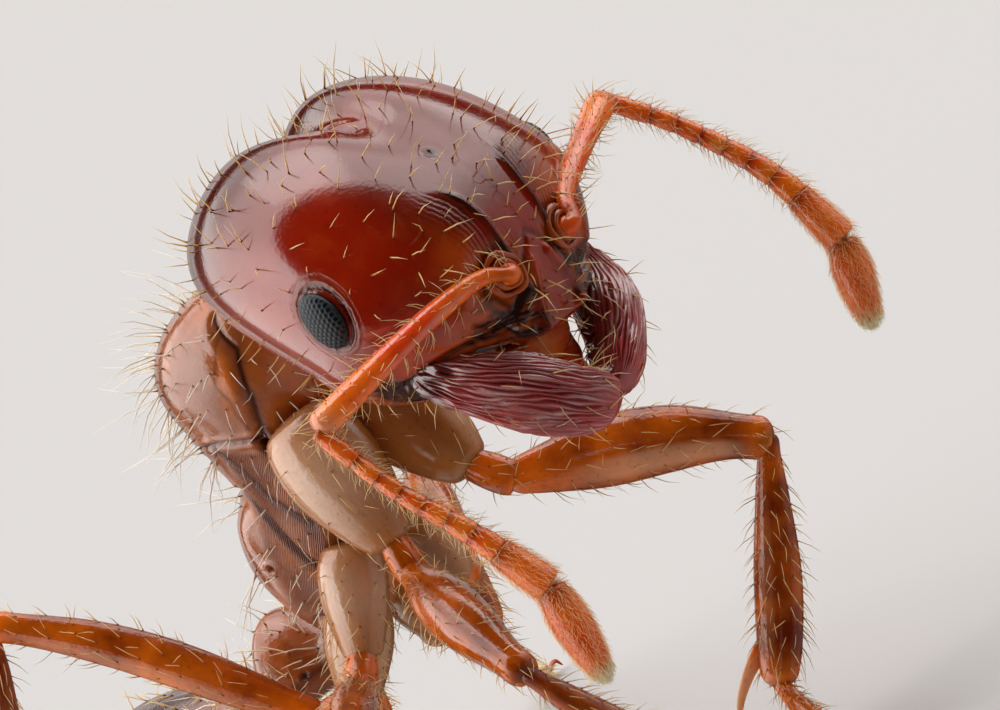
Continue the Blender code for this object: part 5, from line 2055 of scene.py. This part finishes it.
# ---- studio ----
@dataclass
class Studio:
    """Pale floor, a tube of soft light round the animal, and the camera."""

    right: Point = (0.675, 0.57, -0.473)
    toward: Point = (0.713, -0.67, 0.211)
    aim: Point = (0.133, -0.055, -0.616)     # from the head's centre
    view_width: float = 5.27
    distance: float = 60.0
    floor_size: float = 1500.0
    lamp_distance: float = 140.0
    opening: Point = (0.763, -0.543, 0.398)

    def axes(self) -> tuple[Array, Array, Array]:
        """Camera's right, up and back directions, made square.

        Returns:
            Three unit vectors.
        """
        back = unit(np.array(self.toward))
        right = np.array(self.right)
        right = unit(right - back * np.dot(right, back))
        return right, np.cross(back, right), back

    def floor(self, shop: Workshop) -> None:
        """Flat floor just under the feet.

        Args:
            shop: where pieces are made.
        """
        half = self.floor_size / 2
        corners = half * np.array([(-1.0, -1.0, 0), (1.0, -1.0, 0), (1.0, 1.0, 0), (-1.0, 1.0, 0)])
        plane = shop.mesh("studio_floor", corners - shop.shift, [np.array([[0, 1, 2, 3]])])
        plane.data.materials.append(StudioFinish().material())
        plane.visible_glossy = False

    def sky(self) -> None:
        """Soft light all round, with a dark opening in front and a dark gap behind."""
        world = bpy.data.worlds.new("studio_light")
        world.use_nodes = True
        bpy.context.scene.world = world
        board = Board(world.node_tree)
        look = board.node("ShaderNodeTexCoord", {}, {}, "Generated")

        def facing(way: Sequence[float]) -> Sig:
            """How far the sky lies in a direction, from minus one to one."""
            return board.node("ShaderNodeVectorMath", {"operation": "DOT_PRODUCT"},
                              {0: look, 1: tuple(way)}, "Value")

        right, up, back = self.axes()
        ahead, away, aside = facing(self.opening), facing(-back), facing(unit(up * 0.55 - right))
        above = board.node("ShaderNodeSeparateXYZ", {}, {0: look}, 2)
        near_gap = ahead.rise(0.45, 0.51)
        far_gap = away.rise(0.59, 0.65) * (1 - away.rise(0.79, 0.85))
        band = ((1 - near_gap) * (1 - far_gap) * (0.12 + 0.88 * aside.rise(-0.40, 0.42))
                * (1 - 0.30 * above.rise(0.25, 0.80)) * (1 - 0.75 * away.rise(0.80, 0.87))
                * (0.60 + 0.40 * above.rise(-0.5, 0.9))
                * (1 - 0.38 * away.rise(0.12, 0.36) * above.rise(0.45, 0.70)))
        backdrop = world.node_tree.nodes["Background"]
        board.dress(backdrop, {"Color": board.blend((0.005, 0.004, 0.003), (1.0, 0.95, 0.92), band),
                               "Strength": 3.9})

    def lamp(self, name: str, way: Array, size: float, radiance: float, colour: Colour) -> None:
        """Square soft lamp that faces the animal from a direction.

        Args:
            name: the lamp's name.
            way: direction that it stands in.
            size: its side, in millimetres.
            radiance: light that leaves each point of it.
            colour: its tint.
        """
        light = bpy.data.lights.new(name, "AREA")
        light.size = size * MM
        light.color = colour
        light.energy = radiance * math.pi * (size * MM) ** 2
        holder = bpy.data.objects.new(name, light)
        holder.location = [float(v) for v in unit(way) * self.lamp_distance * MM]
        holder.rotation_mode = "QUATERNION"
        holder.rotation_quaternion = Vector(unit(way)).to_track_quat("Z", "Y")
        bpy.context.scene.collection.objects.link(holder)

    def camera(self, head: Array) -> None:
        """Long lens on the head and forelegs, tilted with the animal.

        Args:
            head: the head's centre, in millimetres.
        """
        right, up, back = self.axes()
        lens = bpy.data.cameras.new("camera")
        lens.sensor_width = 36.0
        lens.lens = 36.0 * self.distance / self.view_width
        lens.clip_start, lens.clip_end = 1.0 * MM, 4000.0 * MM
        holder = bpy.data.objects.new("camera", lens)
        spot = (head + np.array(self.aim) + back * self.distance) * MM
        matrix = np.eye(4)
        matrix[:3, 0], matrix[:3, 1], matrix[:3, 2], matrix[:3, 3] = right, up, back, spot
        holder.matrix_world = Matrix(matrix.tolist())
        bpy.context.scene.collection.objects.link(holder)
        bpy.context.scene.camera = holder

    def build(self, shop: Workshop, head: Array) -> None:
        """Set up camera, floor and lights.

        Args:
            shop: where pieces are made.
            head: the head's centre, in millimetres.
        """
        bpy.context.scene.view_settings.view_transform = "Standard"
        self.camera(head)
        self.floor(shop)
        self.sky()
        right, up, back = self.axes()
        self.lamp("key_lamp", up * 1.0 - right * 0.55 - back * 0.05, 90.0, 1.2, (1.0, 0.97, 0.94))


# ---- the whole animal ----
def main() -> None:
    """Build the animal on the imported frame, then the studio."""
    logging.basicConfig(level=logging.INFO, format="%(message)s")
    head = Head()
    low, high = (np.array(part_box("head")[k]) / MM for k in (0, 1))
    capsule = HEAD.out(head.capsule(np.linspace(0.0, np.pi, 400)[:, None],
                                    np.linspace(0, 2 * np.pi, 400)[None, :]))
    flat = capsule.reshape(-1, 3)
    shift = (low + high) / 2 - (flat.min(axis=0) + flat.max(axis=0)) / 2
    LOG.info("shift onto the frame: %s mm", np.round(shift, 4))
    shop = Workshop(shift, np.random.default_rng(SEED))
    head.build(shop)
    Eyes(head).build(shop)
    Jaws().build(shop)
    Mouth().build(shop)
    for side in Side:
        Feeler(side).build(shop)
    Trunk().build(shop)
    Waist().build(shop)
    Gaster().build(shop)
    for pair, side, root, coxa, trochanter, femur, tibia, heading in LEGS:
        Leg(pair, side, root, (coxa, trochanter, femur, tibia), heading).build(shop)
    LOG.info("triangles: %d", shop.triangles)
    Studio().build(shop, np.array(HEAD.centre) + shift)


if __name__ == "__main__":
    main()
